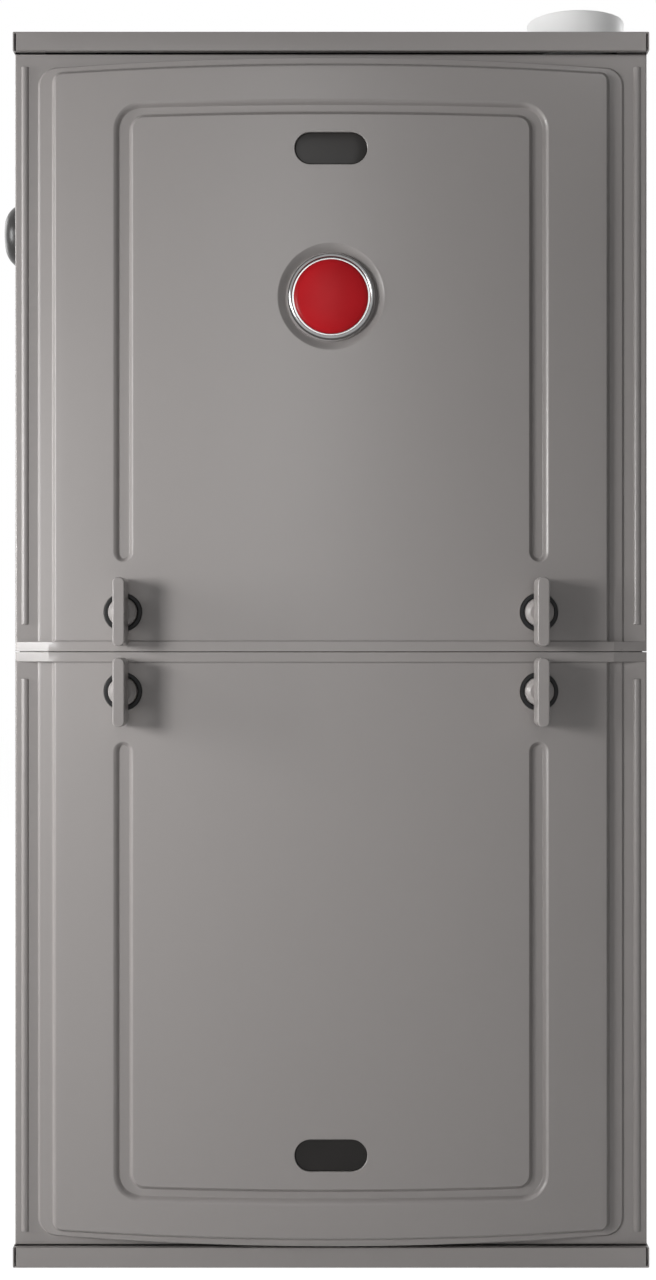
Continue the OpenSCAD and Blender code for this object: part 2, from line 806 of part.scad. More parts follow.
// A pad glued behind the upper door's raised panel
module door_insulation() {
    reach = upper_end - top_margin;
    badge_v = reach - badge_margin;
    half = groove_x - groove_w / 2 - 12;
    low = groove_start;
    high = reach - window_margin - window_h / 2 - 12;
    color([0.25, 0.25, 0.26])
    on_door(true)
    difference() {
        intersection() {
            block([-half, apex_y - 1, low], [half, apex_y + 30, high]);
            behind_bow(sheet + door_fit, upper_end);
        }
        behind_bow(sheet + door_fit + pad_t, upper_end);
        bar_y(0, badge_v, badge_recess_r + 4, apex_y - 2, apex_y + 30);
    }
}

badge_z = seam_z + upper_end - top_margin - badge_margin;
badge_y = apex_y + badge_recess_d;

module badge_ring() {
    color(steel)
    difference() {
        bar_y(0, badge_z, badge_ring_r, badge_y - badge_ring_h, badge_y);
        bar_y(0, badge_z, badge_disc_r + 0.1, badge_y - badge_ring_h - 1, badge_y + 1);
    }
}

module badge_disc() {
    dome_r = (badge_disc_r * badge_disc_r + badge_dome * badge_dome) / (2 * badge_dome);
    top_y = badge_y - badge_disc_h - badge_dome;
    color([0.68, 0.09, 0.12])
    intersection() {
        bar_y(0, badge_z, badge_disc_r, top_y - 1, badge_y);
        translate([0, top_y + dome_r, badge_z]) sphere(r = dome_r, $fn = fine);
    }
}

// Half of a ring of round section in the YZ plane: side 1 bends backwards, -1 forwards
module half_ring(x, y, z, bend, r, side) {
    translate([x, y, z]) rotate([0, -90, 0]) rotate([0, 0, side > 0 ? 0 : 180])
        rotate_extrude(angle = 180) translate([bend, 0]) circle(r = r);
}

tube_y0 = vestibule_y + sheet;
tube_rear = back_y - bend_back;
tube_front = tube_y0 + pass_drop / 2 + tube_r + bend_gap;
box_y = tube_rear + 40;
last_pass = burner_z - 2 * pass_drop;

// The space of one serpentine tube, with its ends lengthened by a spare amount
module tube_run(x, r, spare) {
    bar_y(x, burner_z, r, tube_y0 - spare, tube_rear);
    half_ring(x, tube_rear, burner_z - pass_drop / 2, pass_drop / 2, r, 1);
    bar_y(x, burner_z - pass_drop, r, tube_front, tube_rear);
    half_ring(x, tube_front, burner_z - 1.5 * pass_drop, pass_drop / 2, r, -1);
    bar_y(x, last_pass, r, tube_front, box_y + spare);
}

// Four serpentine tubes that the burners fire into
module primary_heat_exchanger() {
    color(steel)
    for (x = tube_places)
        difference() {
            tube_run(x, tube_r, 0);
            tube_run(x, tube_r - tube_wall, 1);
        }
}

// A sheet steel box behind the heat exchangers, which leads the gases down to the secondary one
module transition_box() {
    depth = 45;
    rim = 8;
    high = last_pass + tube_r + rim;
    color(steel)
    difference() {
        block([-coil_x, box_y, coil_z0], [coil_x, box_y + depth, high]);
        block([-coil_x + tube_wall, box_y + tube_wall, coil_z0 + tube_wall],
              [coil_x - tube_wall, box_y + depth - tube_wall, high - tube_wall]);
        for (x = tube_places) bar_y(x, last_pass, tube_r - tube_wall, box_y - 1, box_y + 5);
        block([-coil_x + rim, box_y - 1, coil_z0 + rim], [coil_x - rim, box_y + 5, coil_z1 - rim]);
    }
}

// Finned tubes between two header plates, where the flue gases condense
module secondary_heat_exchanger() {
    header_t = 2;
    fin_t = 0.5;
    run = box_y - tube_y0;
    step = 2 * coil_tube_x / (coil_tubes - 1);
    fin_step = run / (coil_fins + 1);
    rows = [coil_z0 + coil_h * 0.3, coil_z0 + coil_h * 0.7];
    color(steel)
    difference() {
        union() {
            for (y = [tube_y0, box_y - header_t]) block([-coil_x, y, coil_z0], [coil_x, y + header_t, coil_z1]);
            for (i = [1 : coil_fins])
                block([-coil_x, tube_y0 + i * fin_step, coil_z0], [coil_x, tube_y0 + i * fin_step + fin_t, coil_z1]);
            for (i = [0 : coil_tubes - 1], z = rows) bar_y(-coil_tube_x + i * step, z, coil_tube_r, tube_y0, box_y);
        }
        for (i = [0 : coil_tubes - 1], z = rows)
            bar_y(-coil_tube_x + i * step, z, coil_tube_r - 0.8, tube_y0 - 1, box_y + 1);
    }
}

inducer_z = deck_top + inducer_up;
barb_r = 3;
barb_bore = 1.8;
barb_l = 12;
tap_y = vestibule_y - switch_disc_r - 3;
tap_z = coil_z1 - 14;
switch_disc_x = -room_x + switch_disc_d / 2;
hose_bend = 18;
switch_barb_z = tap_z + hose_bend + 20;
switch_disc_z = switch_barb_z + barb_l + switch_disc_r;
drain_barb_r = 6.5;
drain_barb_bore = 5;

// A plastic box that gathers the flue gases for the inducer and the condensate for the trap
module collector_box() {
    wall = 2;
    color(dark)
    difference() {
        union() {
            block([collector_x0, collector_y, coil_z0], [collector_x1, vestibule_y, coil_z1]);
            bar_x(tap_y, tap_z, barb_r, collector_x0 - barb_l, collector_x0 + 1);
            bar_x(port_y, port_z, drain_barb_r, collector_x1 - 1, collector_x1 + barb_l);
        }
        block([collector_x0 + wall, collector_y + wall, coil_z0 + wall],
              [collector_x1 - wall, vestibule_y + 1, coil_z1 - wall]);
        bar_y(inducer_x, inducer_z, inducer_inlet_r, collector_y - 1, collector_y + 5);
        bar_x(tap_y, tap_z, barb_bore, collector_x0 - barb_l - 1, collector_x0 + 5);
        bar_x(port_y, port_z, drain_barb_bore, collector_x1 - 5, collector_x1 + barb_l + 1);
    }
}

burner_box_y = vestibule_y - burner_box_d;
probe_y = vestibule_y - 7;
probe_hole_r = 5.2;
burner_inlet_r = 11;

// A sheet steel box round the burners, open towards the heat exchanger
module burner_box() {
    color(steel)
    difference() {
        block([-burner_box_x, burner_box_y, burner_z - burner_box_h],
              [burner_box_x, vestibule_y, burner_z + burner_box_h]);
        block([-burner_box_x + sheet, burner_box_y + sheet, burner_z - burner_box_h + sheet],
              [burner_box_x - sheet, vestibule_y + 1, burner_z + burner_box_h - sheet]);
        for (x = tube_places) bar_y(x, burner_z, burner_inlet_r, burner_box_y - 1, burner_box_y + 5);
        for (x = [tube_places[0], tube_places[3]])
            bar_z(x, probe_y, probe_hole_r, burner_z - burner_box_h - 1, burner_z - burner_box_h + 5);
    }
}

// Four inshot burners: a flange, a bell mouth, a throat and a flared outlet
module burners() {
    wall = 1.2;
    mouth = 10;
    throat_end = 22;
    length = 44;
    flare = 15.6;
    color(steel)
    for (x = tube_places)
        translate([x, burner_box_y + sheet, burner_z]) rotate([-90, 0, 0]) rotate_extrude()
            polygon([
                [burner_inlet_r + 1, 0], [burner_r, 0], [burner_r, 1.5], [burner_inlet_r + 2.2, 1.5],
                [throat_r + wall, mouth], [throat_r + wall, throat_end], [flare + wall, length],
                [flare, length], [throat_r, throat_end], [throat_r, mouth]
            ]);
}

manifold_y = burner_box_y - manifold_gap;
manifold_bore = 8;
boss_y = manifold_y + 16;
boss_bore = 4;
valve_x = tube_places[0];
valve_half = 34;
valve_y0 = gas_y - 28;
valve_z0 = gas_z - 32;
valve_z1 = gas_z + 33;
valve_boss = 8;

// A pipe across the burners, with a boss for each orifice, a nipple down to the gas valve
// and two brackets to the burner box
module gas_manifold() {
    end_gap = 24;
    left = tube_places[0] - end_gap;
    right = tube_places[3] + 15;
    tab_h = 8;
    color(dark)
    difference() {
        union() {
            bar_x(manifold_y, burner_z, manifold_r, left, right);
            bar_z(valve_x, manifold_y, manifold_r, valve_z1 + 1, burner_z);
            for (x = tube_places) bar_y(x, burner_z, boss_bore + 4, manifold_y, boss_y);
            for (x = [-tube_pitch, tube_pitch]) {
                block([x - 1, manifold_y, burner_z - tab_h], [x + 1, burner_box_y, burner_z + tab_h]);
                block([x - 1, burner_box_y - 2, burner_z - tab_h], [x + 15, burner_box_y, burner_z + tab_h]);
            }
        }
        bar_x(manifold_y, burner_z, manifold_bore, left + 4, right - 4);
        bar_z(valve_x, manifold_y, manifold_bore, valve_z1, burner_z);
        for (x = tube_places) bar_y(x, burner_z, boss_bore, manifold_y, boss_y + 1);
    }
}

// Four brass orifices, screwed into the manifold's bosses
module gas_orifices() {
    hex_l = 6;
    color([0.75, 0.6, 0.3])
    for (x = tube_places)
        difference() {
            union() {
                bar_y(x, burner_z, boss_bore - 0.05, boss_y - 7, boss_y + 1);
                translate([x, boss_y + hex_l, burner_z]) rotate([90, 0, 0]) cylinder(r = 6.5, h = hex_l, $fn = 6);
                bar_y(x, burner_z, 2.5, boss_y + hex_l - 1, boss_y + hex_l + 6);
            }
            bar_y(x, burner_z, 0.8, boss_y - 8, boss_y + hex_l + 7);
        }
}

valve_knob_z = gas_z - 12;
valve_stem_r = 3;

// The gas valve: an aluminium body with a threaded inlet on the left and its outlet on top
module gas_valve() {
    inlet_boss = 16;
    color([0.62, 0.63, 0.64])
    difference() {
        union() {
            block([valve_x - valve_half, valve_y0, valve_z0],
                  [valve_x + valve_half, manifold_y + manifold_r, valve_z1]);
            bar_x(gas_y, gas_z, gas_r + 5.5, valve_x - valve_half - inlet_boss, valve_x);
            bar_z(valve_x, manifold_y, manifold_r + 2.5, valve_z1 - 1, valve_z1 + valve_boss);
            bar_y(valve_x + 20, gas_z + 14, 9, valve_y0 - 8, valve_y0 + 1);
        }
        bar_x(gas_y, gas_z, gas_r, valve_x - valve_half - inlet_boss - 1, valve_x - valve_half + 10);
        bar_z(valve_x, manifold_y, manifold_r + 0.1, valve_z1 - 7, valve_z1 + valve_boss + 1);
        bar_y(valve_x, valve_knob_z, valve_stem_r + turn_fit, valve_y0 - 1, valve_y0 + 9);
    }
}

// The on-off knob of the gas valve
module gas_valve_knob() {
    face_y = valve_y0 - door_fit;
    color([0.7, 0.12, 0.1])
    union() {
        bar_y(valve_x, valve_knob_z, 11, face_y - 6, face_y);
        block([valve_x - 2.5, face_y - 14, valve_knob_z - 10], [valve_x + 2.5, face_y - 5, valve_knob_z + 10]);
        bar_y(valve_x, valve_knob_z, valve_stem_r, face_y - 1, valve_y0 + 8);
    }
}

// A ceramic holder with a rod, pushed up through the burner box's floor
module burner_probe(x, rod_r) {
    floor_z = burner_z - burner_box_h;
    bar_z(x, probe_y, probe_hole_r - 0.2, floor_z - 20, floor_z + 14);
    block([x - 9, probe_y - 6, floor_z - 2], [x + 9, probe_y + 6, floor_z]);
    bar_z(x, probe_y, rod_r, floor_z + 13, burner_z);
}

module igniter() {
    color([0.9, 0.88, 0.84]) burner_probe(tube_places[0], 2.4);
}

module flame_sensor() {
    color([0.9, 0.88, 0.84]) burner_probe(tube_places[3], 1.2);
}

// A limit switch with its probe among the heat exchanger tubes, and two roll-out switches
module limit_switches() {
    color(dark)
    union() {
        bar_y(0, limit_z, 12, vestibule_y - 10, vestibule_y);
        bar_y(0, limit_z, 3, vestibule_y - 1, vestibule_y + 40);
        for (x = [-tube_pitch, tube_pitch])
            bar_z(x, burner_box_y + 25, 9, burner_z + burner_box_h, burner_z + burner_box_h + 8);
    }
}

// A round pressure switch on the left side panel, with its barb pointing down
module pressure_switch() {
    cap_r = 12;
    cap_h = 8;
    color([0.85, 0.85, 0.83])
    union() {
        bar_x(tap_y, switch_disc_z, switch_disc_r, -room_x, -room_x + switch_disc_d);
        bar_x(tap_y, switch_disc_z, cap_r, -room_x + switch_disc_d - 1, -room_x + switch_disc_d + cap_h);
        bar_z(switch_disc_x, tap_y, barb_r, switch_barb_z, switch_disc_z - switch_disc_r + 5);
    }
}

trap_x1 = room_x - 10;
trap_x0 = trap_x1 - trap_w;
trap_inlet_x = trap_x0 - 8;

// The space of the pressure tube, from the collector box's barb up to the switch's, with spare ends
module pressure_tube(r, spare) {
    seat = 8;
    bar_x(tap_y, tap_z, r, switch_disc_x + hose_bend, collector_x0 - barb_l + seat + spare);
    translate([switch_disc_x + hose_bend, tap_y, tap_z + hose_bend]) rotate([90, 0, 0]) rotate([0, 0, 180])
        rotate_extrude(angle = 90) translate([hose_bend, 0]) circle(r = r);
    bar_z(switch_disc_x, tap_y, r, tap_z + hose_bend, switch_barb_z + seat + spare);
}

// The pressure tube and the condensate hose, each pushed over the barbs at its two ends
module rubber_hoses() {
    hose_fit = 0.05;
    color(dark) {
        difference() {
            pressure_tube(barb_r + 1.6, 0);
            pressure_tube(barb_r + hose_fit, 1);
        }
        difference() {
            bar_x(port_y, port_z, drain_barb_r + 2, collector_x1 + 3, trap_x0 - 1);
            bar_x(port_y, port_z, drain_barb_r + hose_fit, collector_x1 + 2, trap_x0);
        }
    }
}

// The condensate trap, with its inlet barb on the left and its outlet towards the side panel
module condensate_trap() {
    half = 30;
    wall = 2;
    outlet_x = room_x - 2;
    color([0.88, 0.88, 0.87])
    difference() {
        union() {
            block([trap_x0, trap_y - half, deck_top], [trap_x1, trap_y + half, deck_top + trap_h]);
            bar_x(port_y, port_z, drain_barb_r, trap_inlet_x, trap_x0 + 1);
            bar_x(trap_y, drain_z, drain_r + 3, trap_x1 - 1, outlet_x);
        }
        block([trap_x0 + wall, trap_y - half + wall, deck_top + wall],
              [trap_x0 + 24, trap_y + half - wall, deck_top + trap_h - wall]);
        bar_x(port_y, port_z, drain_barb_bore, trap_inlet_x - 1, trap_x0 + 5);
        bar_x(trap_y, drain_z, drain_r, trap_x0 + 20, outlet_x + 1);
    }
}

outlet_half = 28;
outlet_z = inducer_z + inducer_r - outlet_half;
inducer_out = inducer_x + inducer_r + 20;
inducer_y0 = collector_y - inducer_d;
elbow_x = vent_x - elbow_bend;
elbow_z = outlet_z + elbow_bend;
boot_r = pipe_r + socket_fit;
boot_wall = 3.2;

// The space of the inducer's scroll and outlet, drawn in by a wall
module scroll_space(wall) {
    bar_y(inducer_x, inducer_z, inducer_r - wall, inducer_y0 + wall, collector_y - wall);
    block([inducer_x, inducer_y0 + wall, outlet_z - outlet_half + wall],
          [inducer_out - wall, collector_y - wall, outlet_z + outlet_half - wall]);
}

// The inducer's housing: a scroll with its inlet behind and a round outlet to the right
module inducer_housing() {
    collar = 14;
    color(dark)
    difference() {
        union() {
            scroll_space(0);
            bar_x(vent_y, outlet_z, pipe_r, inducer_out - 1, inducer_out + collar);
        }
        scroll_space(inducer_wall);
        bar_x(vent_y, outlet_z, inducer_d / 2 - inducer_wall, inducer_out - 6, inducer_out + collar + 1);
        bar_y(inducer_x, inducer_z, inducer_inlet_r, collector_y - 5, collector_y + 1);
        bar_y(inducer_x, inducer_z, inducer_shaft_r + 2, inducer_y0 - 1, inducer_y0 + 5);
    }
}

module inducer_motor() {
    color(steel)
    difference() {
        union() {
            bar_y(inducer_x, inducer_z, inducer_motor_r, inducer_y0 - inducer_motor_l + 6, inducer_y0);
            bar_y(inducer_x, inducer_z, 14, inducer_y0 - inducer_motor_l, inducer_y0 - inducer_motor_l + 7);
        }
        bar_y(inducer_x, inducer_z, inducer_shaft_r + turn_fit, inducer_y0 - inducer_motor_l + 3, inducer_y0 + 1);
    }
}

inducer_disc_y = inducer_y0 + inducer_wall + 6;

// The inducer's wheel: a disc with radial blades and a hub
module inducer_wheel() {
    blades = 12;
    reach = collector_y - inducer_wall - 8;
    color(steel)
    difference() {
        union() {
            bar_y(inducer_x, inducer_z, inducer_wheel_r, inducer_disc_y, inducer_disc_y + 2);
            bar_y(inducer_x, inducer_z, 11, inducer_disc_y, reach);
            for (i = [0 : blades - 1])
                translate([inducer_x, inducer_disc_y + 1, inducer_z]) rotate([0, i * 360 / blades, 0])
                    block([9, 0, -0.75], [inducer_wheel_r - 1, reach - inducer_disc_y - 1, 0.75]);
        }
        bar_y(inducer_x, inducer_z, inducer_shaft_r + 0.03, inducer_disc_y - 1, reach + 1);
    }
}

module inducer_shaft() {
    color(steel)
    bar_y(inducer_x, inducer_z, inducer_shaft_r, inducer_y0 - inducer_motor_l + 5, collector_y - inducer_wall - 6);
}

elbow_leg = 20;

// The space of the elbow between the inducer and the vent pipe, with spare length at its ends
module elbow_space(r, spare) {
    bar_x(vent_y, outlet_z, r, inducer_out + 2 - spare, elbow_x);
    translate([elbow_x, vent_y, elbow_z]) rotate([90, 0, 0]) rotate([0, 0, -90])
        rotate_extrude(angle = 90) translate([elbow_bend, 0]) circle(r = r);
    bar_z(vent_x, vent_y, r, elbow_z, elbow_z + elbow_leg + spare);
}

module vent_elbow() {
    color(dark)
    difference() {
        elbow_space(boot_r + boot_wall, 0);
        elbow_space(boot_r, 1);
    }
}

// Two steel bands round the elbow's ends, each with its screw block
module hose_clamps() {
    band = boot_r + boot_wall + 0.1;
    band_w = 8;
    low = elbow_z + elbow_leg - band_w - 3;
    color(steel) {
        difference() {
            union() {
                bar_x(vent_y, outlet_z, band + 1, inducer_out + 4, inducer_out + 4 + band_w);
                block([inducer_out + 4, vent_y - 7, outlet_z + band - 1],
                      [inducer_out + 4 + band_w, vent_y + 7, outlet_z + band + 8]);
            }
            bar_x(vent_y, outlet_z, band, inducer_out + 3, inducer_out + 5 + band_w);
        }
        difference() {
            union() {
                bar_z(vent_x, vent_y, band + 1, low, low + band_w);
                block([vent_x - 7, vent_y - band - 8, low], [vent_x + 7, vent_y - band + 1, low + band_w]);
            }
            bar_z(vent_x, vent_y, band, low - 1, low + band_w + 1);
        }
    }
}

stop_z = case_h - stop_down;
stop_t = 3;

module vent_pipe() {
    color([0.93, 0.93, 0.92])
    difference() {
        bar_z(vent_x, vent_y, pipe_r, elbow_z + 1, stop_z - door_fit);
        bar_z(vent_x, vent_y, pipe_r - pipe_wall, elbow_z, stop_z + 1);
    }
}

// A white pipe coupling through the cap: the inner pipe enters below, a vent pipe seats from above
module vent_coupling() {
    color([0.93, 0.93, 0.92])
    difference() {
        union() {
            bar_z(vent_x, vent_y, coupling_r, case_h - coupling_down, case_h + coupling_up);
            bar_z(vent_x, vent_y, coupling_r + 3.6, case_h, case_h + 2.5);
        }
        bar_z(vent_x, vent_y, boot_r, case_h - coupling_down - 1, stop_z);
        bar_z(vent_x, vent_y, pipe_r - pipe_wall, stop_z - 1, stop_z + stop_t + 1);
        bar_z(vent_x, vent_y, boot_r, stop_z + stop_t, case_h + coupling_up + 1);
    }
}

// A collar through the cap for the combustion air pipe
module intake_collar() {
    color(dark)
    difference() {
        union() {
            bar_z(-intake_x, vent_y, intake_r, case_h - 20, case_h + intake_up);
            bar_z(-intake_x, vent_y, intake_r + 5, case_h, case_h + 2.5);
        }
        bar_z(-intake_x, vent_y, boot_r, case_h - 21, case_h + intake_up + 1);
    }
}

rail_low = seam_z - rail_half;
bracket_y = rail_y + rail_d - 4;
bracket_x1 = -room_x + bracket_w;
bracket_z0 = rail_low - bracket_h;

// A bent plate under the divider rail that carries the controls
module board_bracket() {
    color(steel)
    union() {
        block([-room_x, bracket_y, bracket_z0], [bracket_x1, bracket_y + sheet, rail_low]);
        block([-room_x, bracket_y, bracket_z0], [-room_x + sheet, bracket_y + 18, rail_low]);
        block([-room_x, bracket_y - 12, rail_low - sheet], [bracket_x1, bracket_y + sheet, rail_low]);
    }
}

board_x0 = -room_x + 14;
board_z0 = bracket_z0 + 14;

// The control board on its standoffs, with relays, capacitors and connectors
module control_board() {
    lift = 5;
    board_t = 1.6;
    board_y = bracket_y - lift - board_t;
    color([0.12, 0.35, 0.2])
    union() {
        block([board_x0, board_y, board_z0], [board_x0 + board_w, board_y + board_t, board_z0 + board_h]);
        for (x = [6, board_w - 6], z = [6, board_h - 6])
            bar_y(board_x0 + x, board_z0 + z, 3, board_y + board_t - 1, bracket_y);
        for (i = [0 : 3])
            block([board_x0 + 14 + i * 30, board_y - 15, board_z0 + board_h - 34],
                  [board_x0 + 32 + i * 30, board_y + 1, board_z0 + board_h - 14]);
        for (i = [0 : 2]) bar_y(board_x0 + 24 + i * 22, board_z0 + 62, 7, board_y - 18, board_y + 1);
        for (i = [0 : 3])
            block([board_x0 + 14 + i * 32, board_y - 9, board_z0 + 10],
                  [board_x0 + 36 + i * 32, board_y + 1, board_z0 + 22]);
    }
}

// The low-voltage transformer: a coil between two stacks of laminations
module transformer() {
    x0 = board_x0 + board_w + 22;
    z0 = board_z0 + 50;
    color([0.3, 0.3, 0.31])
    union() {
        block([x0, bracket_y - 24, z0], [x0 + 60, bracket_y - 6, z0 + 50]);
        block([x0 + 12, bracket_y - 30, z0 + 9], [x0 + 48, bracket_y - 1, z0 + 41]);
        block([x0 - 8, bracket_y - 2, z0 + 15], [x0 + 68, bracket_y, z0 + 35]);
    }
}

// A box on the right side panel, behind the electrical entry
module junction_box() {
    half = 28;
    high = 34;
    wall = 1.2;
    color(steel)
    difference() {
        block([room_x - 55, conduit_y - half, conduit_z - high], [room_x, conduit_y + half, conduit_z + high]);
        block([room_x - 55 + wall, conduit_y - half + wall, conduit_z - high + wall],
              [room_x + 1, conduit_y + half - wall, conduit_z + high - wall]);
    }
}

switch_back = rail_y + rail_d - 1;

// The door switch behind the divider rail
module door_switch() {
    color([0.2, 0.2, 0.22])
    difference() {
        block([switch_x - 12, rail_y + sheet, switch_z - 9], [switch_x + 12, switch_back, switch_z + 9]);
        bar_y(switch_x, switch_z, plunger_r + turn_fit, rail_y, switch_back - 3);
    }
}

module door_switch_plunger() {
    color([0.9, 0.9, 0.9])
    bar_y(switch_x, switch_z, plunger_r, plunger_y, switch_back - 3.5 - switch_travel);
}

// Outline of the blower's scroll in the YZ plane, drawn in by a wall
function scroll(wall, top) = concat(
    [for (a = [cutoff_a : -10 : -180])
        let (r = scroll_start_r + (scroll_end_r - scroll_start_r) * (cutoff_a - a) / (cutoff_a + 180) - wall)
        [blower_y + r * cos(a), blower_z + r * sin(a)]],
    [[blower_y - scroll_end_r + wall, top], [blower_y + cutoff_y - wall, top]]
);

// An outline in the YZ plane, extruded from x0 to x1
module slab_x(points, x0, x1) {
    translate([x0, 0, 0]) rotate([90, 0, 90]) linear_extrude(height = x1 - x0) polygon(points);
}

housing_wall = 1.2;

// The blower's scroll housing, with an inlet ring on each side and its outlet up through the deck
module blower_housing() {
    half = blower_w / 2;
    ring_l = 11;
    color(steel)
    difference() {
        union() {
            difference() {
                slab_x(scroll(0, seam_z), -half, half);
                slab_x(scroll(housing_wall, seam_z + 1), -half + housing_wall, half - housing_wall);
            }
            for (side = [-1, 1])
                bar_x(blower_y, blower_z, inlet_r + housing_wall,
                      side > 0 ? half - ring_l : -half, side > 0 ? half : -half + ring_l);
        }
        bar_x(blower_y, blower_z, inlet_r, -half - 1, half + 1);
    }
}

// Two angle rails under the deck that the blower hangs on
module blower_rails() {
    half = blower_w / 2;
    leg = 1.5;
    drop = 30;
    flange = 24;
    y0 = blower_y - scroll_end_r;
    y1 = blower_y + scroll_start_r + 30;
    color(steel)
    for (side = [-1, 1]) {
        union() {
            side_block(side, [half, y0, seam_z - drop], [half + leg, y1, seam_z]);
            side_block(side, [half, y0, seam_z - leg], [half + flange, y1, seam_z]);
        }
    }
}

wheel_disc_x = 30;
wheel_hub_l = 30;
shaft_in = 50;

// The blower's wheel: two rims, a centre disc on a hub, and a ring of blades
module blower_wheel() {
    blade_d = 11;
    rim_w = 3;
    color(steel)
    difference() {
        union() {
            for (x = [-wheel_w / 2, wheel_w / 2 - rim_w])
                difference() {
                    bar_x(blower_y, blower_z, wheel_r, x, x + rim_w);
                    bar_x(blower_y, blower_z, wheel_r - blade_d - 1, x - 1, x + rim_w + 1);
                }
            bar_x(blower_y, blower_z, wheel_r - 1, wheel_disc_x, wheel_disc_x + 2);
            bar_x(blower_y, blower_z, 22, wheel_disc_x + 1 - wheel_hub_l / 2, wheel_disc_x + 1 + wheel_hub_l / 2);
            for (i = [0 : wheel_blades - 1])
                translate([0, blower_y, blower_z]) rotate([i * 360 / wheel_blades, 0, 0])
                    block([-wheel_w / 2 + 1, wheel_r - blade_d - 0.5, -0.6], [wheel_w / 2 - 1, wheel_r - 0.5, 0.6]);
        }
        bar_x(blower_y, blower_z, shaft_r + 0.03, wheel_disc_x - wheel_hub_l, wheel_disc_x + wheel_hub_l);
    }
}

motor_x0 = -blower_w / 2 - 9;
motor_x1 = motor_x0 + motor_l;

module blower_shaft() {
    color(steel)
    bar_x(blower_y, blower_z, shaft_r, motor_x1 - shaft_in, wheel_disc_x + wheel_hub_l / 2 + 7);
}

module blower_motor() {
    color([0.2, 0.22, 0.26])
    difference() {
        union() {
            bar_x(blower_y, blower_z, motor_r, motor_x0, motor_x1 - 8);
            bar_x(blower_y, blower_z, motor_r - 8, motor_x1 - 9, motor_x1);
        }
        bar_x(blower_y, blower_z, shaft_r + turn_fit, motor_x1 - shaft_in - 2, motor_x1 + 1);
    }
}

// A band round the blower's motor, with three arms to the housing's inlet
module motor_bracket() {
    band = motor_r + 0.2;
    arm_t = 3;
    arm_x1 = -blower_w / 2;
    arm_x0 = arm_x1 - arm_t;
    color(steel)
    difference() {
        union() {
            bar_x(blower_y, blower_z, band + 2, arm_x0, arm_x0 + 22);
            for (a = [90, 210, 330])
                translate([0, blower_y, blower_z]) rotate([a, 0, 0])
                    block([arm_x0, motor_r - 2, -10], [arm_x1, inlet_r + 10, 10]);
        }
        bar_x(blower_y, blower_z, band, arm_x0 - 1, arm_x0 + 30);
    }
}

base_pan();
side_panel_left();
side_panel_right();
back_panel();
top_plate();
divider_rail();
blower_deck();
vestibule_panel();
cabinet_screws();
gas_grommet();
upper_door();
upper_window();
upper_bushes();
door_insulation();
badge_ring();
badge_disc();
knob_upper_left();
knob_upper_right();
lower_door();
lower_window();
lower_bushes();
knob_lower_left();
knob_lower_right();
primary_heat_exchanger();
transition_box();
secondary_heat_exchanger();
collector_box();
burner_box();
burners();
gas_manifold();
gas_orifices();
gas_valve();
gas_valve_knob();
igniter();
flame_sensor();
limit_switches();
pressure_switch();
rubber_hoses();
condensate_trap();
inducer_housing();
inducer_motor();
inducer_wheel();
inducer_shaft();
vent_elbow();
hose_clamps();
vent_pipe();
vent_coupling();
intake_collar();
board_bracket();
control_board();
transformer();
junction_box();
door_switch();
door_switch_plunger();
blower_housing();
blower_rails();
blower_wheel();
blower_shaft();
blower_motor();
motor_bracket();
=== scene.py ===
import json
import math
import bmesh
import bpy
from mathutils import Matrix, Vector


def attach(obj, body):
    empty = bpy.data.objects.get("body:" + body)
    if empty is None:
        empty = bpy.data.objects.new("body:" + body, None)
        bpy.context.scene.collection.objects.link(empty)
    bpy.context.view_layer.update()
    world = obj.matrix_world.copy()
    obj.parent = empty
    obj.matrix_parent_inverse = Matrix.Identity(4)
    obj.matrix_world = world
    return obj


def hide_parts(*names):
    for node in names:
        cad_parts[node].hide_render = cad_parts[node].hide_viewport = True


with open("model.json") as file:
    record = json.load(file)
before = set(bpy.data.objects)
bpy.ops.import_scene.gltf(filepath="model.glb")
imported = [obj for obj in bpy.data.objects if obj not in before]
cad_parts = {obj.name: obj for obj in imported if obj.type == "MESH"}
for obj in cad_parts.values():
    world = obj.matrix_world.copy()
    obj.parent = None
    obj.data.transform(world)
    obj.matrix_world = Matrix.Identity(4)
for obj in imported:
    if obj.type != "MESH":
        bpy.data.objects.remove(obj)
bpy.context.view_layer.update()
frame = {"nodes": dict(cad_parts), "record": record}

mm = 0.001
seamZ = 0.4304   # height of the line between the two doors
nodes = frame["nodes"]


# Small tools for modelling by hand in edit mode
turnTo = {"X": (0, math.pi / 2, 0), "Y": (math.pi / 2, 0, 0), "Z": (0, 0, 0)}
cutNormal = {"X": (1, 0, 0), "Y": (0, 1, 0), "Z": (0, 0, 1)}
roundEnd = 0.999   # a round end takes this share of half the width, so that its two arcs stay apart
weld = 0.05        # corners nearer than this, in mm, become one after rounding


def clearSelection():
    if bpy.context.mode != "OBJECT":
        bpy.ops.object.mode_set(mode="OBJECT")
    bpy.ops.object.select_all(action="DESELECT")


def choose(pieces):
    # only these are selected, and the first one is active
    clearSelection()
    for piece in pieces:
        piece.select_set(True)
    bpy.context.view_layer.objects.active = pieces[0]


def settle(piece):
    # its place, turn and size go into the mesh
    choose([piece])
    bpy.ops.object.transform_apply(location=True, rotation=True, scale=True)


def takeAll():
    bpy.ops.mesh.select_all(action="SELECT")


def reopenPiece(piece):
    choose([piece])
    bpy.ops.object.mode_set(mode="EDIT")


def openPiece(name):
    # the primitive just added gets its name and is opened in edit mode
    piece = bpy.context.object
    piece.name = piece.data.name = name
    settle(piece)
    bpy.ops.object.mode_set(mode="EDIT")
    bpy.ops.mesh.select_mode(type="VERT")
    takeAll()
    return piece


def closePiece():
    bpy.ops.object.mode_set(mode="OBJECT")


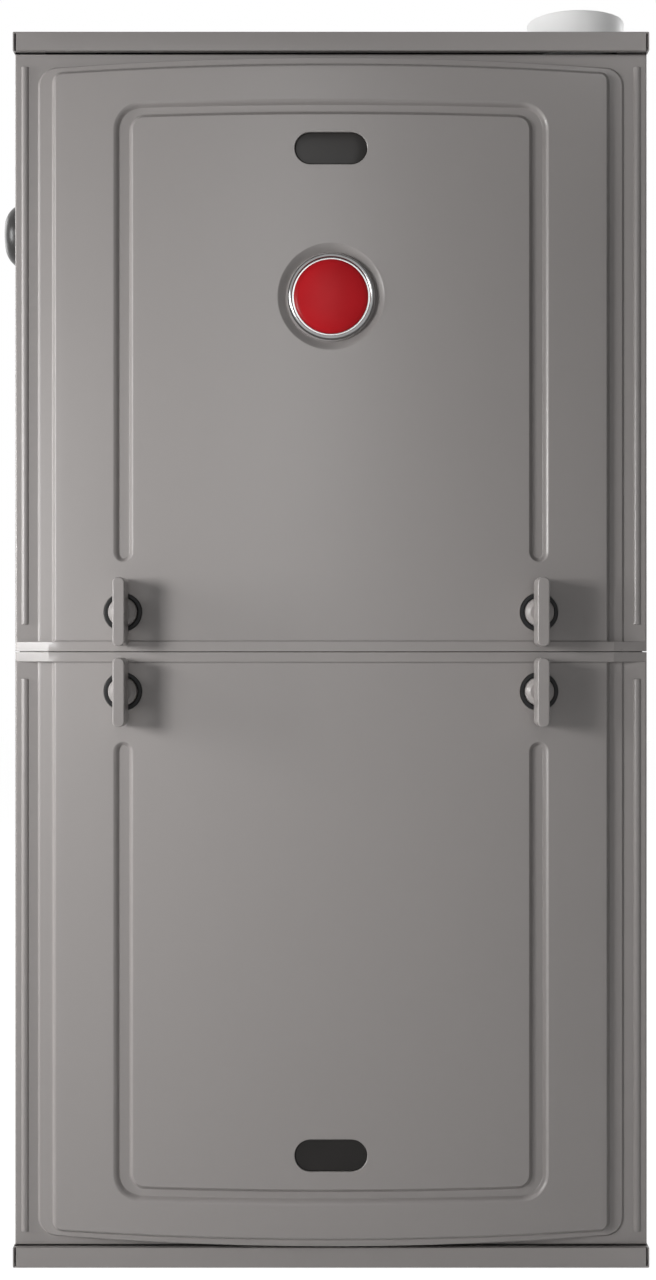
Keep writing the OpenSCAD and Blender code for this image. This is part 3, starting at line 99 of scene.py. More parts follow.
def addBlock(name, low, high):
    clearSelection()
    middle = [(a + b) / 2 * mm for a, b in zip(low, high)]
    size = [(b - a) * mm for a, b in zip(low, high)]
    bpy.ops.mesh.primitive_cube_add(size=1, location=middle, scale=size)
    return openPiece(name)


def addPanel(name, halfWidth, low, high, depth):
    # a sheet facing the front, depth counted towards the front
    clearSelection()
    bpy.ops.mesh.primitive_plane_add(size=1, location=(0, -depth * mm, (low + high) / 2 * mm),
                                     rotation=(math.pi / 2, 0, 0))
    bpy.context.object.scale = (2 * halfWidth * mm, (high - low) * mm, 1)
    return openPiece(name)


def addRod(name, radius, length, middle, axis, sides):
    clearSelection()
    bpy.ops.mesh.primitive_cylinder_add(vertices=sides, radius=radius * mm, depth=length * mm,
                                        location=[a * mm for a in middle], rotation=turnTo[axis])
    return openPiece(name)


def pick(kind, test):
    # selects by place: test gets the middle in mm, and the normal or, for an edge, its direction
    bpy.ops.mesh.select_mode(type=kind)
    bpy.ops.mesh.select_all(action="DESELECT")
    mesh = bmesh.from_edit_mesh(bpy.context.edit_object.data)
    for item in {"VERT": mesh.verts, "EDGE": mesh.edges, "FACE": mesh.faces}[kind]:
        if kind == "VERT":
            place, facing = item.co, item.normal
        elif kind == "EDGE":
            first, last = item.verts[0].co, item.verts[1].co
            place, facing = (first + last) / 2, last - first
        else:
            place, facing = item.calc_center_median(), item.normal
        if test(place / mm, facing):
            item.select_set(True)
    mesh.select_flush_mode()
    bmesh.update_edit_mesh(bpy.context.edit_object.data)


def pushOut(y=0, z=0):
    bpy.ops.mesh.extrude_region_move(TRANSFORM_OT_translate={"value": (0, y * mm, z * mm)})


def stepIn(steps):
    # one inset after another: width drawn in, height gained
    for width, height in steps:
        bpy.ops.mesh.inset(thickness=width * mm, depth=height * mm)


def cutAt(spots, axis):
    # divides the whole mesh at each spot along an axis
    for spot in spots:
        takeAll()
        bpy.ops.mesh.bisect(plane_co=[spot * mm * n for n in cutNormal[axis]], plane_no=cutNormal[axis])


def roundEdges(width, segments, test):
    pick("EDGE", test)
    bpy.ops.mesh.bevel(offset=width * mm, segments=segments, affect="EDGES", profile=0.5)


def roundCorners(width, segments, test):
    pick("VERT", test)
    bpy.ops.mesh.bevel(offset=width * mm, segments=segments, affect="VERTICES", profile=0.5)


def weldAll(reach=weld):
    takeAll()
    bpy.ops.mesh.remove_doubles(threshold=reach * mm)


def faceOutward():
    takeAll()
    bpy.ops.mesh.normals_make_consistent(inside=False)


def applyModifier(piece, kind, **settings):
    choose([piece])
    modifier = piece.modifiers.new(kind, kind)
    for key, value in settings.items():
        setattr(modifier, key, value)
    bpy.ops.object.modifier_apply(modifier=modifier.name)


def join(piece, tool, operation):
    # cuts a tool piece out, or welds it on, and removes it
    applyModifier(piece, "BOOLEAN", operation=operation, object=tool, solver="EXACT")
    bpy.data.objects.remove(tool)


def gather(pieces):
    # several pieces become one object, the first one
    choose(pieces)
    bpy.ops.object.join()


def smooth(piece, angle):
    choose([piece])
    bpy.ops.object.shade_smooth_by_angle(angle=math.radians(angle))


def dress(piece, material, body, node):
    piece.data.materials.clear()
    piece.data.materials.append(material)
    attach(piece, body)
    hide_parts(node)


# The two doors: bowed steel skins with a raised panel, a U-shaped groove and a strip at the seam.
# They are shaped flat, upwards from the seam, then bowed. Depth counts from the margin to the front.
door = {
    "half": 221.6, "marginY": -356, "fold": 19, "edgeRound": 1.6, "seamGap": 0.3, "sheet": 1.0,
    "upperEnd": 419.3, "lowerEnd": 415.9, "belowSeam": 14, "bowRadius": 1560, "apexDepth": 20,
    "terraceHalf": 205.6, "terraceTop": 413.7, "terraceCrown": 4.6, "terraceCorner": 13, "terraceDepth": 1.6,
    "terraceRoot": -8, "terraceSteps": [(0.25, 0.1), (0.45, 0.4), (0.6, 0.6), (0.45, 0.4), (0.25, 0.1)],
    "panelHalf": 195.2, "panelTop": 408.3, "panelCrown": 2.9, "panelCorner": 7, "panelDepth": 6.6, "panelRoot": 1,
    "panelSteps": [(0.3, 0.15), (0.4, 0.5), (0.7, 1.5), (0.8, 1.7), (0.45, 0.6), (0.45, 0.4), (0.4, 0.15)],
    "grooveX": 144.5, "grooveHalf": 7.35, "grooveTopWidth": 11.8, "grooveTop": 383, "grooveLow": 62,
    "grooveCorner": 19, "grooveCrown": 1, "grooveBroad": 1.7, "grooveWall": 3.2, "grooveOutward": 1.3,
    "grooveSteps": [(0.4, 0.1), (0.6, 0.5), (0.7, 1.1), (0.7, 1.1), (0.6, 0.5), (0.4, 0.2)],
    "dishV": 245.8, "dishRadius": 37.4, "dishDepth": 17.5, "dishSeat": 6.7,
    "dishSteps": [(0.5, 0.15), (0.9, 0.55), (1.3, 1.0), (1.4, 1.1), (1.2, 0.8), (0.7, 0.35),
                  (0.4, -0.6), (0.4, -0.75)],
    "windowV": 348.3, "windowWidth": 50.3, "windowHeight": 22.3, "bushV": 27.5, "bushHole": 13.35,
    "lipRoom": 0.65, "lipSteps": [(0.35, 0.1), (0.3, 0.35), (0.1, 2.6)],
    "holeFloor": 13.5, "windowFloor": (25.2, 11.2),
    "toolStart": 2, "toolSink": 1.95, "toolLeft": 0.05,
    "stripHigh": 6.8, "stripProud": 0.6, "stripFlat": 197, "stripLine": 0.9, "stripInset": 0.4,
    "stripThick": 8, "stripRound": 0.5, "lineInset": 6, "lineSink": 1.1,
    "beadX": 214.5, "beadRadius": 2.9, "beadHigh": 1.6, "beadStart": 19, "beadEnd": 9.5, "beadRound": 0.3,
    "columns": 40, "rows": 22, "flatUnder": 0.95,
    "strapLow": (50, -374.4, 396.4), "strapHigh": (70, -345, 412.4), "strapRound": 2,
}


def bowDepth(x):
    return door["apexDepth"] - door["bowRadius"] + math.sqrt(door["bowRadius"] ** 2 - x * x)


def bowExtra(x):
    # what the bow adds to a flat depth at this distance from the middle
    return bowDepth(x) - door["panelDepth"]


def archTop(high, crown, half, cuts):
    # the upper edge is divided and drawn up in the middle, as a parabola
    pick("EDGE", lambda p, d: p.z > high - 0.1 and abs(d.x) > 0.05)
    bpy.ops.mesh.subdivide(number_cuts=cuts - 1)
    mesh = bmesh.from_edit_mesh(bpy.context.edit_object.data)
    for corner in mesh.verts:
        if corner.co.z > (high - 30) * mm:
            corner.co.z -= crown * mm * (corner.co.x / (half * mm)) ** 2
    bmesh.update_edit_mesh(bpy.context.edit_object.data)


def raisedPlate(name, kind, foot):
    # kind is terrace or panel: a plate drawn up from its root, its edge stepped in from the foot
    half, top, root = door[kind + "Half"], door[kind + "Top"], door[kind + "Root"]
    plate = addPanel(name, half, -door["belowSeam"], top, root)
    roundCorners(door[kind + "Corner"], 8, lambda p, n: p.z > top - 1)
    archTop(top, door[kind + "Crown"], half, 24)
    takeAll()
    pushOut(y=root - foot)
    stepIn(door[kind + "Steps"])
    closePiece()
    return plate


def grooveOuter(x, v):
    # 0 at the groove's middle line to 1 at its outer side, and the way to its inner side
    half, corner, top = door["grooveHalf"], door["grooveCorner"], door["grooveTop"]
    cornerX, cornerV = door["grooveX"] + half - corner, top - corner
    side = 1 if x > 0 else -1
    if v < cornerV:
        return (abs(x) - door["grooveX"]) / half, (-side, 0)
    if abs(x) < cornerX:
        return (v - top + door["grooveTopWidth"] / 2) / (door["grooveTopWidth"] / 2), (0, -1)
    dx, dv = abs(x) - cornerX, v - cornerV
    away = math.hypot(dx, dv) or 1
    return (away - corner + half) / half, (-side * dx / away, -dv / away)


def grooveTool():
    # a U-shaped cutter: a rounded frame without its lower side, with two round ends
    x, half, width, top = door["grooveX"], door["grooveHalf"], door["grooveTopWidth"], door["grooveTop"]
    outer, low = x + half, door["grooveLow"] + half
    tool = addPanel("groove", outer, low - 30, top, door["panelDepth"] + door["toolStart"])
    roundCorners(door["grooveCorner"], 8, lambda p, n: p.z > top - 1)
    archTop(top, door["grooveCrown"], outer, 20)
    takeAll()
    stepIn([(width, 0)])
    pick("VERT", lambda p, n: abs(p.x) < outer - width + 0.1 and p.z < top - width + 0.1)
    bpy.ops.transform.resize(value=((x - half) / (outer - width), 1, 1), center_override=(0, 0, 0))
    pick("FACE", lambda p, n: abs(p.x) < 5 and p.z < top - width - 1)
    bpy.ops.mesh.delete(type="FACE")
    takeAll()
    bpy.ops.mesh.bisect(plane_co=(0, 0, low * mm), plane_no=(0, 0, 1), clear_inner=True)
    pick("EDGE", lambda p, d: p.z < low + 0.1)
    pushOut(z=-half)
    roundCorners(half * roundEnd, 7, lambda p, n: p.z < low - half + 0.1)
    weldAll()
    bpy.ops.mesh.flip_normals()
    pushOut(y=door["toolSink"])
    stepIn(door["grooveSteps"])
    mesh = bmesh.from_edit_mesh(bpy.context.edit_object.data)
    for corner in mesh.verts:
        sunk = door["panelDepth"] + door["toolLeft"] + corner.co.y / mm
        if sunk < 0.02:
            continue
        # the outer wall runs out broader towards the groove's floor
        side, way = grooveOuter(corner.co.x / mm, corner.co.z / mm)
        deep, outward = min(1, sunk / door["grooveWall"]) ** 0.5, min(1, max(0, side) * door["grooveOutward"])
        draw = deep * door["grooveBroad"] * outward
        corner.co.x += way[0] * draw * mm
        corner.co.z += way[1] * draw * mm
    bmesh.update_edit_mesh(bpy.context.edit_object.data)
    faceOutward()
    closePiece()
    return tool


def roundTool(name, x, v, radius, steps, sides=64):
    # a round cutter that starts above the panel and ends a hair over it, where its steps begin
    middle = -(door["panelDepth"] + door["toolStart"]) + door["toolSink"] / 2
    tool = addRod(name, radius, door["toolSink"], (x, middle, v), "Y", sides)
    pick("FACE", lambda p, n: n.y > 0.9)
    stepIn(steps)
    closePiece()
    return tool


def slotTool(name, v, width, height, steps):
    tool = addPanel(name, width / 2, v - height / 2, v + height / 2, door["panelDepth"] + door["toolStart"])
    roundCorners(height / 2 * roundEnd, 12, lambda p, n: True)
    weldAll()
    bpy.ops.mesh.flip_normals()
    pushOut(y=door["toolSink"])
    stepIn(steps)
    faceOutward()
    closePiece()
    return tool


def pressDoor(skin, badge):
    # the raised panel, the groove, the line over the strip and the holes
    join(skin, raisedPlate("panel", "panel", door["terraceDepth"]), "UNION")
    join(skin, grooveTool(), "DIFFERENCE")
    wide, stripTop = door["terraceHalf"] - door["lineInset"], door["seamGap"] + door["stripHigh"]
    line = addBlock("line", (-wide, door["terraceRoot"], stripTop - 1),
                    (wide, -door["panelDepth"] + door["lineSink"], stripTop + door["stripLine"]))
    closePiece()
    join(skin, line, "DIFFERENCE")
    lip, room = door["lipSteps"], door["lipRoom"]
    sight = slotTool("sight", door["windowV"], door["windowWidth"] + 2 * room,
                     door["windowHeight"] + 2 * room, lip)
    join(skin, sight, "DIFFERENCE")
    for side in (-1, 1):
        hole = roundTool("hole", side * door["grooveX"], door["bushV"], door["bushHole"] + room, lip)
        join(skin, hole, "DIFFERENCE")
    if badge:
        dish = roundTool("dish", 0, door["dishV"], door["dishRadius"], door["dishSteps"], 96)
        join(skin, dish, "DIFFERENCE")


def bowDoor(skin, end, badge):
    # cut in columns and rows, trimmed at the seam, then every raised corner follows the bow
    reopenPiece(skin)
    half = door["terraceHalf"]
    cutAt([half * (2 * i / door["columns"] - 1) for i in range(1, door["columns"])], "X")
    cutAt([end * i / door["rows"] for i in range(1, door["rows"])], "Z")
    takeAll()
    bpy.ops.mesh.bisect(plane_co=(0, 0, door["seamGap"] * mm), plane_no=(0, 0, 1), clear_inner=True,
                        use_fill=True)
    faceOutward()
    seat = door["dishRadius"] - door["dishSeat"]
    mesh = bmesh.from_edit_mesh(bpy.context.edit_object.data)
    for corner in mesh.verts:
        x, depth, v = corner.co.x / mm, -corner.co.y / mm, corner.co.z / mm
        if depth < door["flatUnder"]:
            continue
        if badge and math.hypot(x, v - door["dishV"]) < seat and depth < door["panelDepth"] - 2:
            corner.co.y = -door["dishDepth"] * mm   # the badge's seat stays flat
        else:
            corner.co.y -= bowExtra(x) * mm
    bmesh.update_edit_mesh(bpy.context.edit_object.data)
    closePiece()


def seamStrip():
    # the trim strip along the seam, bowed like the door and sloping away at both ends
    low, high, flat = door["seamGap"], door["seamGap"] + door["stripHigh"], door["stripFlat"]
    wide = door["half"] - door["stripInset"]
    strip = addBlock("strip", (-wide, -1, low), (wide, door["stripThick"], high))
    cutAt([flat * (2 * i / door["columns"] - 1) for i in range(door["columns"] + 1)], "X")
    mesh = bmesh.from_edit_mesh(bpy.context.edit_object.data)
    for corner in mesh.verts:
        if corner.co.y < 0:
            x = abs(corner.co.x / mm)
            proud = 0.05 if x > flat + 0.1 else bowDepth(min(x, flat)) + door["stripProud"]
            corner.co.y = -proud * mm
    bmesh.update_edit_mesh(bpy.context.edit_object.data)
    roundEdges(door["stripRound"], 2, lambda p, d: p.z > high - 0.1 and p.y < 0
               and abs(d.x) > abs(d.z) and abs(p.x) < door["half"] - 2)
    closePiece()
    return strip


def sideBead(side, end):
    low, high = door["beadStart"], end - door["beadEnd"]
    bead = addRod("bead", door["beadRadius"], high - low,
                  (side * door["beadX"], door["beadRadius"] - door["beadHigh"], (high + low) / 2), "Z", 32)
    pick("FACE", lambda p, n: abs(n.z) > 0.9)
    bpy.ops.mesh.bevel(offset=door["beadRound"] * mm, segments=2, affect="EDGES")
    closePiece()
    return bead


def isPocketFloor(p, n):
    # the thin floors that the cutters leave in the knob holes and the window
    if abs(n.y) < 0.9 or not 1 < bowDepth(p.x) + p.y - 1 < 4:
        return False
    wide, tall, reach = *door["windowFloor"], door["holeFloor"]
    hole = abs(abs(p.x) - door["grooveX"]) < reach and abs(p.z - door["bushV"]) < reach
    return hole or (abs(p.x) < wide and abs(p.z - door["windowV"]) < tall)


def doorSkin(name, end, badge):
    skin = raisedPlate(name, "terrace", 0)
    pressDoor(skin, badge)
    bowDoor(skin, end, badge)
    body = addBlock("doorBody", (-door["half"], 0, door["seamGap"]), (door["half"], door["fold"], end))
    roundEdges(door["edgeRound"], 3, lambda p, d: p.y < 0.1 and p.z > door["seamGap"] + 1)
    closePiece()
    join(skin, body, "UNION")
    join(skin, seamStrip(), "UNION")
    for side in (-1, 1):
        join(skin, sideBead(side, end), "UNION")
    reopenPiece(skin)
    weldAll(0.003)
    bpy.ops.mesh.normals_make_consistent(inside=False)
    for opened in (lambda p, n: p.y > door["fold"] - 0.05 and abs(n.y) > 0.9, isPocketFloor):
        pick("FACE", opened)
        bpy.ops.mesh.delete(type="FACE")
    pick("EDGE", lambda p, d: abs(abs(p.x) - door["stripFlat"]) < 0.05 and p.z < door["stripHigh"] and p.y < -1)
    bpy.ops.mesh.mark_sharp()
    takeAll()
    bpy.ops.transform.translate(value=(0, door["marginY"] * mm, seamZ))
    closePiece()
    return skin


def nudgeToSeam(skin):
    # no corner of the folded edge may cross the gap between the doors
    gap = door["seamGap"] * mm
    for corner in skin.data.vertices:
        away = corner.co.z - seamZ
        if abs(away) < gap:
            corner.co.z = seamZ + (gap if skin.name.startswith("upper") else -gap)


def switchStrap():
    # the bridge behind the lower door that presses the door switch
    low, high = door["strapLow"], door["strapHigh"]
    strap = addBlock("switchStrap", low, high)
    roundEdges(door["strapRound"], 3, lambda p, d: p.y > high[1] - 0.1 and abs(d.z) > 0.5 * d.length)
    pick("FACE", lambda p, n: abs(n.z) > 0.9 or n.y < -0.9)
    bpy.ops.mesh.delete(type="FACE")
    closePiece()
    applyModifier(strap, "SOLIDIFY", thickness=door["sheet"] * mm, offset=-1)
    return strap


upperDoor = doorSkin("upperDoorSkin", door["upperEnd"], True)
lowerDoor = doorSkin("lowerDoorSkin", door["lowerEnd"], False)
reopenPiece(lowerDoor)   # the lower door is turned over at the seam
takeAll()
bpy.ops.transform.resize(value=(1, 1, -1), center_override=(0, 0, seamZ))
bpy.ops.mesh.flip_normals()
closePiece()
for skin in (upperDoor, lowerDoor):
    applyModifier(skin, "SOLIDIFY", thickness=door["sheet"] * mm, offset=-1)
    if skin is lowerDoor:
        gather([skin, switchStrap()])
    nudgeToSeam(skin)
    smooth(skin, 30)
    applyModifier(skin, "WEIGHTED_NORMAL", keep_sharp=True, weight=70)
    print(skin.name, len(skin.data.polygons), "faces")


def turned(name, profile, middle, axis, sides, closed=True):
    # a ring drawn out step by step along a profile of (radius, height), closed on itself or at its ends
    clearSelection()
    startR, startH = profile[0]
    bpy.ops.mesh.primitive_circle_add(vertices=sides, radius=startR * mm, location=(0, 0, startH * mm),
                                      fill_type="NOTHING")
    piece = openPiece(name)
    for (r0, h0), (r1, h1) in zip(profile, profile[1:]):
        pushOut(z=h1 - h0)
        bpy.ops.transform.resize(value=(r1 / r0, r1 / r0, 1), center_override=(0, 0, h1 * mm))
    if closed:
        weldAll(0.005)
    else:
        bpy.ops.mesh.edge_face_add()
        pick("VERT", lambda p, n: abs(p.z - startH) < 0.001 and abs(math.hypot(p.x, p.y) - startR) < 0.01)
        bpy.ops.mesh.edge_face_add()
    faceOutward()
    closePiece()
    piece.rotation_euler = turnTo[axis]
    piece.location = [a * mm for a in middle]
    settle(piece)
    return piece


# Cap and base: shallow folded trays. The front fold ends in a narrow slit at each corner.
cabinet = {"half": 222.2, "front": -362, "back": 362, "high": 863.6, "capEdge": 13.4, "baseEdge": 14.2,
           "sheet": 1.0, "fold": 1.2, "hem": 5, "slit": 1.2, "slitAt": 220.0,
           "slitDeep": (-2, 2.2), "slitLeft": 1.4,
           "supply": (-186, -151, 186, 327), "ductLip": 19, "returnHalf": (175, 280, 5),
           "ventX": 179.7, "intakeX": -150, "pipeY": -287, "ventHole": 35.65, "intakeHole": 33.3,
           "cutterHigh": 20}


def foldedTray(name, low, high, openTop):
    tray = addBlock(name, (-cabinet["half"], cabinet["front"], low), (cabinet["half"], cabinet["back"], high))
    shut, rim = (low, high) if openTop else (high, low)
    roundEdges(cabinet["fold"], 3, lambda p, d: abs(p.z - shut) < 0.1)
    pick("FACE", lambda p, n: abs(n.z) > 0.9 and abs(p.z - rim) < 0.1)
    bpy.ops.mesh.delete(type="FACE")
    pick("EDGE", lambda p, d: p.y < cabinet["front"] + 0.1 and abs(p.z - rim) < 0.1
         and abs(d.x) > 0.5 * d.length)
    pushOut(y=cabinet["hem"])
    faceOutward()
    closePiece()
    return tray


def slitCorners(tray, low, high):
    for side in (-1, 1):
        x0, x1 = sorted((side * cabinet["slitAt"], side * (cabinet["slitAt"] + cabinet["slit"])))
        y0, y1 = (cabinet["front"] + deep for deep in cabinet["slitDeep"])
        slit = addBlock("slit", (x0, y0, low), (x1, y1, high))
        closePiece()
        join(tray, slit, "DIFFERENCE")


cap = foldedTray("topPlateCap", cabinet["high"] - cabinet["capEdge"], cabinet["high"], False)
reopenPiece(cap)
x0, y0, x1, y1 = cabinet["supply"]
cutAt((x0, x1), "X")
cutAt((y0, y1), "Y")
pick("FACE", lambda p, n: n.z > 0.9 and x0 < p.x < x1 and y0 < p.y < y1)
pushOut(z=cabinet["ductLip"])
bpy.ops.mesh.delete(type="FACE")
faceOutward()
closePiece()
applyModifier(cap, "SOLIDIFY", thickness=cabinet["sheet"] * mm, offset=-1)
slitCorners(cap, cabinet["high"] - cabinet["capEdge"] - 1, cabinet["high"] - cabinet["slitLeft"])
for x, radius in ((cabinet["ventX"], cabinet["ventHole"]), (cabinet["intakeX"], cabinet["intakeHole"])):
    hole = addRod("hole", radius, cabinet["cutterHigh"], (x, cabinet["pipeY"], cabinet["high"]), "Z", 64)
    closePiece()
    join(cap, hole, "DIFFERENCE")
base = foldedTray("basePanFolded", 0, cabinet["baseEdge"], True)
applyModifier(base, "SOLIDIFY", thickness=cabinet["sheet"] * mm, offset=-1)
slitCorners(base, cabinet["slitLeft"], cabinet["baseEdge"] + 1)
hx, hy, hz = cabinet["returnHalf"]
opening = addBlock("opening", (-hx, -hy, -hz), (hx, hy, hz))
closePiece()
join(base, opening, "DIFFERENCE")
for tray in (cap, base):
    smooth(tray, 30)
    print(tray.name, len(tray.data.polygons), "faces")


# The screws that hold the cap and the base: one washer-headed screw, copied
screw = {"hex": 4.4, "hexLow": 0.3, "head": 2.6, "hexRound": 0.35, "recess": [(1.0, 0), (0.2, -0.3)],
         "flange": 5.1, "flangeHigh": 0.7, "shank": 2.1, "long": 5.5,
         "rows": (-282, -94, 94, 282), "backRows": (-177.2, 0, 177.2), "heights": (7.1, 856.9)}


def washerScrew():
    flange, high, shank, end = screw["flange"], screw["flangeHigh"], screw["shank"], -screw["long"]
    body = turned("screw", [(flange, 0.1), (flange, high - 0.25), (flange - 0.3, high), (2, high),
                            (2, high + 0.4), (1, high + 0.4), (1, -1), (shank, -1.1), (shank, end + 2),
                            (0.5, end), (0.4, end), (0.4, 0.1), (flange, 0.1)], (0, 0, 0), "Z", 20)
    low, tall = screw["hexLow"], screw["head"] - screw["hexLow"]
    head = addRod("hex", screw["hex"], tall, (0, 0, low + tall / 2), "Z", 6)
    pick("FACE", lambda p, n: n.z > 0.9)
    bpy.ops.mesh.bevel(offset=screw["hexRound"] * mm, segments=2, affect="EDGES")
    pick("FACE", lambda p, n: n.z > 0.99)
    stepIn(screw["recess"])
    closePiece()
    gather([body, head])
    return body


oneScrew = washerScrew()
spots = []
for z in screw["heights"]:
    for side, turn in ((-1, -math.pi / 2), (1, math.pi / 2)):
        spots += [((side * cabinet["half"], y, z), (0, turn, 0)) for y in screw["rows"]]
    spots += [((x, cabinet["back"], z), (-math.pi / 2, 0, 0)) for x in screw["backRows"]]
placed = []
for place, turn in spots:
    twin = oneScrew.copy()
    twin.data = oneScrew.data.copy()
    bpy.context.scene.collection.objects.link(twin)
    twin.rotation_euler = turn
    twin.location = [a * mm for a in place]
    settle(twin)
    placed.append(twin)
bpy.data.objects.remove(oneScrew)
gather(placed)
screws = placed[0]
screws.name = screws.data.name = "cabinetScrewHeads"
smooth(screws, 30)
print(screws.name, len(spots), "screws")


# Latch knobs: a narrow upright handle on a round hub, in a dark bush
knob = {"x": 144.5, "z": (457.9, 402.9), "skinY": -369.29, "hub": 10, "hubBack": 6.5, "gap": 6, "reach": 31,
        "wide": 8.4, "tall": 47, "corner": 3.6, "edge": 1.1, "stem": 5, "stemRound": 0.5,
        "wingY": (-333.2, -330.2), "wing": (5, 22), "wingRound": 1.2, "bush": 13.25, "bushBore": 5.3,
        "bushFlange": 16, "play": 0.3}


def latchKnob(name, x, z):
    skin, hub, back, front = knob["skinY"], knob["hub"], -knob["hubBack"], knob["gap"] + 2
    dome = [(hub, front - 3.6), (hub - 0.4, front - 2.9), (hub - 2.6, front - 0.5), (hub - 3.4, front)]
    body = turned(name, [(0.5, back), (hub - 1, back), (hub, back + 1), *dome, (0.5, front)],
                  (x, skin, z), "Y", 48, False)
    wide, tall = knob["wide"] / 2, knob["tall"] / 2
    handle = addBlock("handle", (x - wide, skin - knob["reach"], z - tall),
                      (x + wide, skin - knob["gap"], z + tall))
    roundEdges(knob["corner"], 6, lambda p, d: abs(d.y) > 0.5 * d.length)
    roundEdges(knob["edge"], 3, lambda p, d: p.y < skin - knob["reach"] + 0.05 and abs(d.y) < 1e-6)
    closePiece()
    join(body, handle, "UNION")
    near, far = knob["wingY"]
    stem = addRod("stem", knob["stem"], far - skin - 1, (x, (far + skin + 1) / 2, z), "Y", 32)
    roundEdges(knob["stemRound"], 2, lambda p, d: p.y > far - 0.1)
    closePiece()
    join(body, stem, "UNION")
    wide, tall = knob["wing"]
    wing = addBlock("wing", (x - wide / 2, near, z - tall / 2), (x + wide / 2, far, z + tall / 2))
    roundEdges(knob["wingRound"], 3, lambda p, d: abs(d.y) > 0.5 * d.length)
    closePiece()
    join(body, wing, "UNION")
    smooth(body, 32)
    applyModifier(body, "WEIGHTED_NORMAL", keep_sharp=True)
    return body


def latchBushes(name, z):
    r, hub, flange, bore = knob["bush"], knob["hub"] + knob["play"], knob["bushFlange"], knob["bushBore"]
    profile = [(hub, -7), (hub, 0.2), (hub + 0.5, 0.75), (r - 0.9, 0.8), (r - 0.25, 0.6), (r, 0), (r, -3.2),
               (flange, -3.2), (flange, -5.2), (r, -5.2), (r - 0.8, -12), (bore, -12), (bore, -7), (hub, -7)]
    pair = [turned(name, profile, (side * knob["x"], knob["skinY"], z), "Y", 56) for side in (-1, 1)]
    gather(pair)
    smooth(pair[0], 35)
    return pair[0]


knobs = {}
for rowName, z in zip(("upper", "lower"), knob["z"]):
    for sideName, side in (("left", -1), ("right", 1)):
        knobName = f"knob{rowName.title()}{sideName.title()}"
        knobs[f"knob_{rowName}_{sideName}"] = latchKnob(knobName, side * knob["x"], z)
upperBushes = latchBushes("bushesUpper", knob["z"][0])
lowerBushes = latchBushes("bushesLower", knob["z"][1])
print(len(knobs), "knobs and their bushes")


# Vent coupling, air intake collar and the gas pipe's grommet. A height counts from the cap or the side.
vent = {"r": 35.35, "low": -46, "high": 27.7, "ledge": -10.6, "ledgeHigh": 3, "bore": 30.3, "pipeBore": 26.25,
        "flange": 38.9, "flangeHigh": 2.5}
intake = {"bore": 30.3, "r": 33, "low": -20, "high": 12, "flange": 38, "flangeHigh": 2.5}
gasEntry = {"place": (-221.25, -302, 732), "steps": [
    (11.2, 12.6), (11.8, 13.9), (13.2, 14.2), (15.4, 13.2), (17.8, 11.7), (20.2, 9.4), (22.2, 6.6),
    (23.6, 3.6), (24.4, 1.1), (24.5, 0.05), (23, 0.0), (19, 0.0), (19, -1.0), (22, -1.02), (22, -4.4),
    (21.4, -4.95), (11.8, -4.95), (11.2, -4.4), (11.2, 12.6)]}


def ventCoupling():
    r, low, high, bore = vent["r"], vent["low"], vent["high"], vent["bore"]
    flange, rim, pipe = vent["flange"], vent["flangeHigh"], vent["pipeBore"]
    ledge, ledgeTop = vent["ledge"], vent["ledge"] + vent["ledgeHigh"]
    profile = [(bore, low + 1), (bore + 1, low), (r - 0.8, low), (r, low + 0.8), (r, 0), (flange, 0.05),
               (flange, rim - 0.8), (flange - 0.8, rim), (r + 0.6, rim), (r, rim + 0.6),
               (r, high - 1.5), (r - 0.4, high - 0.5), (r - 1.4, high), (bore + 1.2, high), (bore, high - 1.2),
               (bore, ledgeTop), (pipe, ledgeTop), (pipe, ledge), (bore, ledge), (bore, low + 1)]
    return turned("ventCouplingWhite", profile, (cabinet["ventX"], cabinet["pipeY"], cabinet["high"]), "Z", 96)


def intakeCollar():
    r, low, high, bore = intake["r"], intake["low"], intake["high"], intake["bore"]
    flange, rim = intake["flange"], intake["flangeHigh"]
    profile = [(bore, low + 0.5), (31, low), (r, low), (r, 0), (flange, 0.05), (flange, 1.9), (37.4, rim),
               (33.6, rim), (r, 3.1), (r, high - 1), (32, high), (31.3, high), (bore, high - 1),
               (bore, low + 0.5)]
    return turned("intakeCollarBlack", profile, (cabinet["intakeX"], cabinet["pipeY"], cabinet["high"]), "Z", 96)


coupling = ventCoupling()
collar = intakeCollar()
grommet = turned("gasGrommetDome", [(r, -h) for r, h in gasEntry["steps"]], gasEntry["place"], "X", 72)
for piece in (coupling, collar, grommet):
    smooth(piece, 28)
    print(piece.name, len(piece.data.polygons), "faces")


# Sight windows and the round medallion on the upper door
window = {"wide": 49.8, "tall": 21.8, "front": -374.4, "back": -371,
          "crown": [(0.25, 0.15), (0.4, 0.05), (6, 0.1)],
          "flangeWide": 58, "flangeTall": 30, "flangeFront": -373.1, "flangeBack": -371.6,
          "upperZ": 778.7, "lowerZ": 82.1}
badge = {"place": (0, -373.5, 676.2),
         "ring": [(25.45, 0.05), (29.9, 0.05), (30, 0.6), (29.95, 1.6), (29.65, 2.7), (29.1, 3.6), (28.5, 4.1),
                  (28, 4.25), (27.5, 4.05), (27.15, 3.4), (27, 2.4), (27, 0.6), (25.45, 0.6), (25.45, 0.05)],
         "dome": [(25.2, 0.05), (25.2, 0.7), (25.8, 0.75), (25.8, 2.2), (25.3, 2.75), (22.5, 3.4), (18, 4.0),
                  (13, 4.5), (8, 4.82), (4, 4.95), (1, 4.99)]}


def slotBlock(name, z, wide, tall, front, back):
    block = addBlock(name, (-wide / 2, front, z - tall / 2), (wide / 2, back, z + tall / 2))
    roundEdges(tall / 2 * roundEnd, 12, lambda p, d: abs(d.y) > 0.9 * d.length)
    weldAll()
    return block


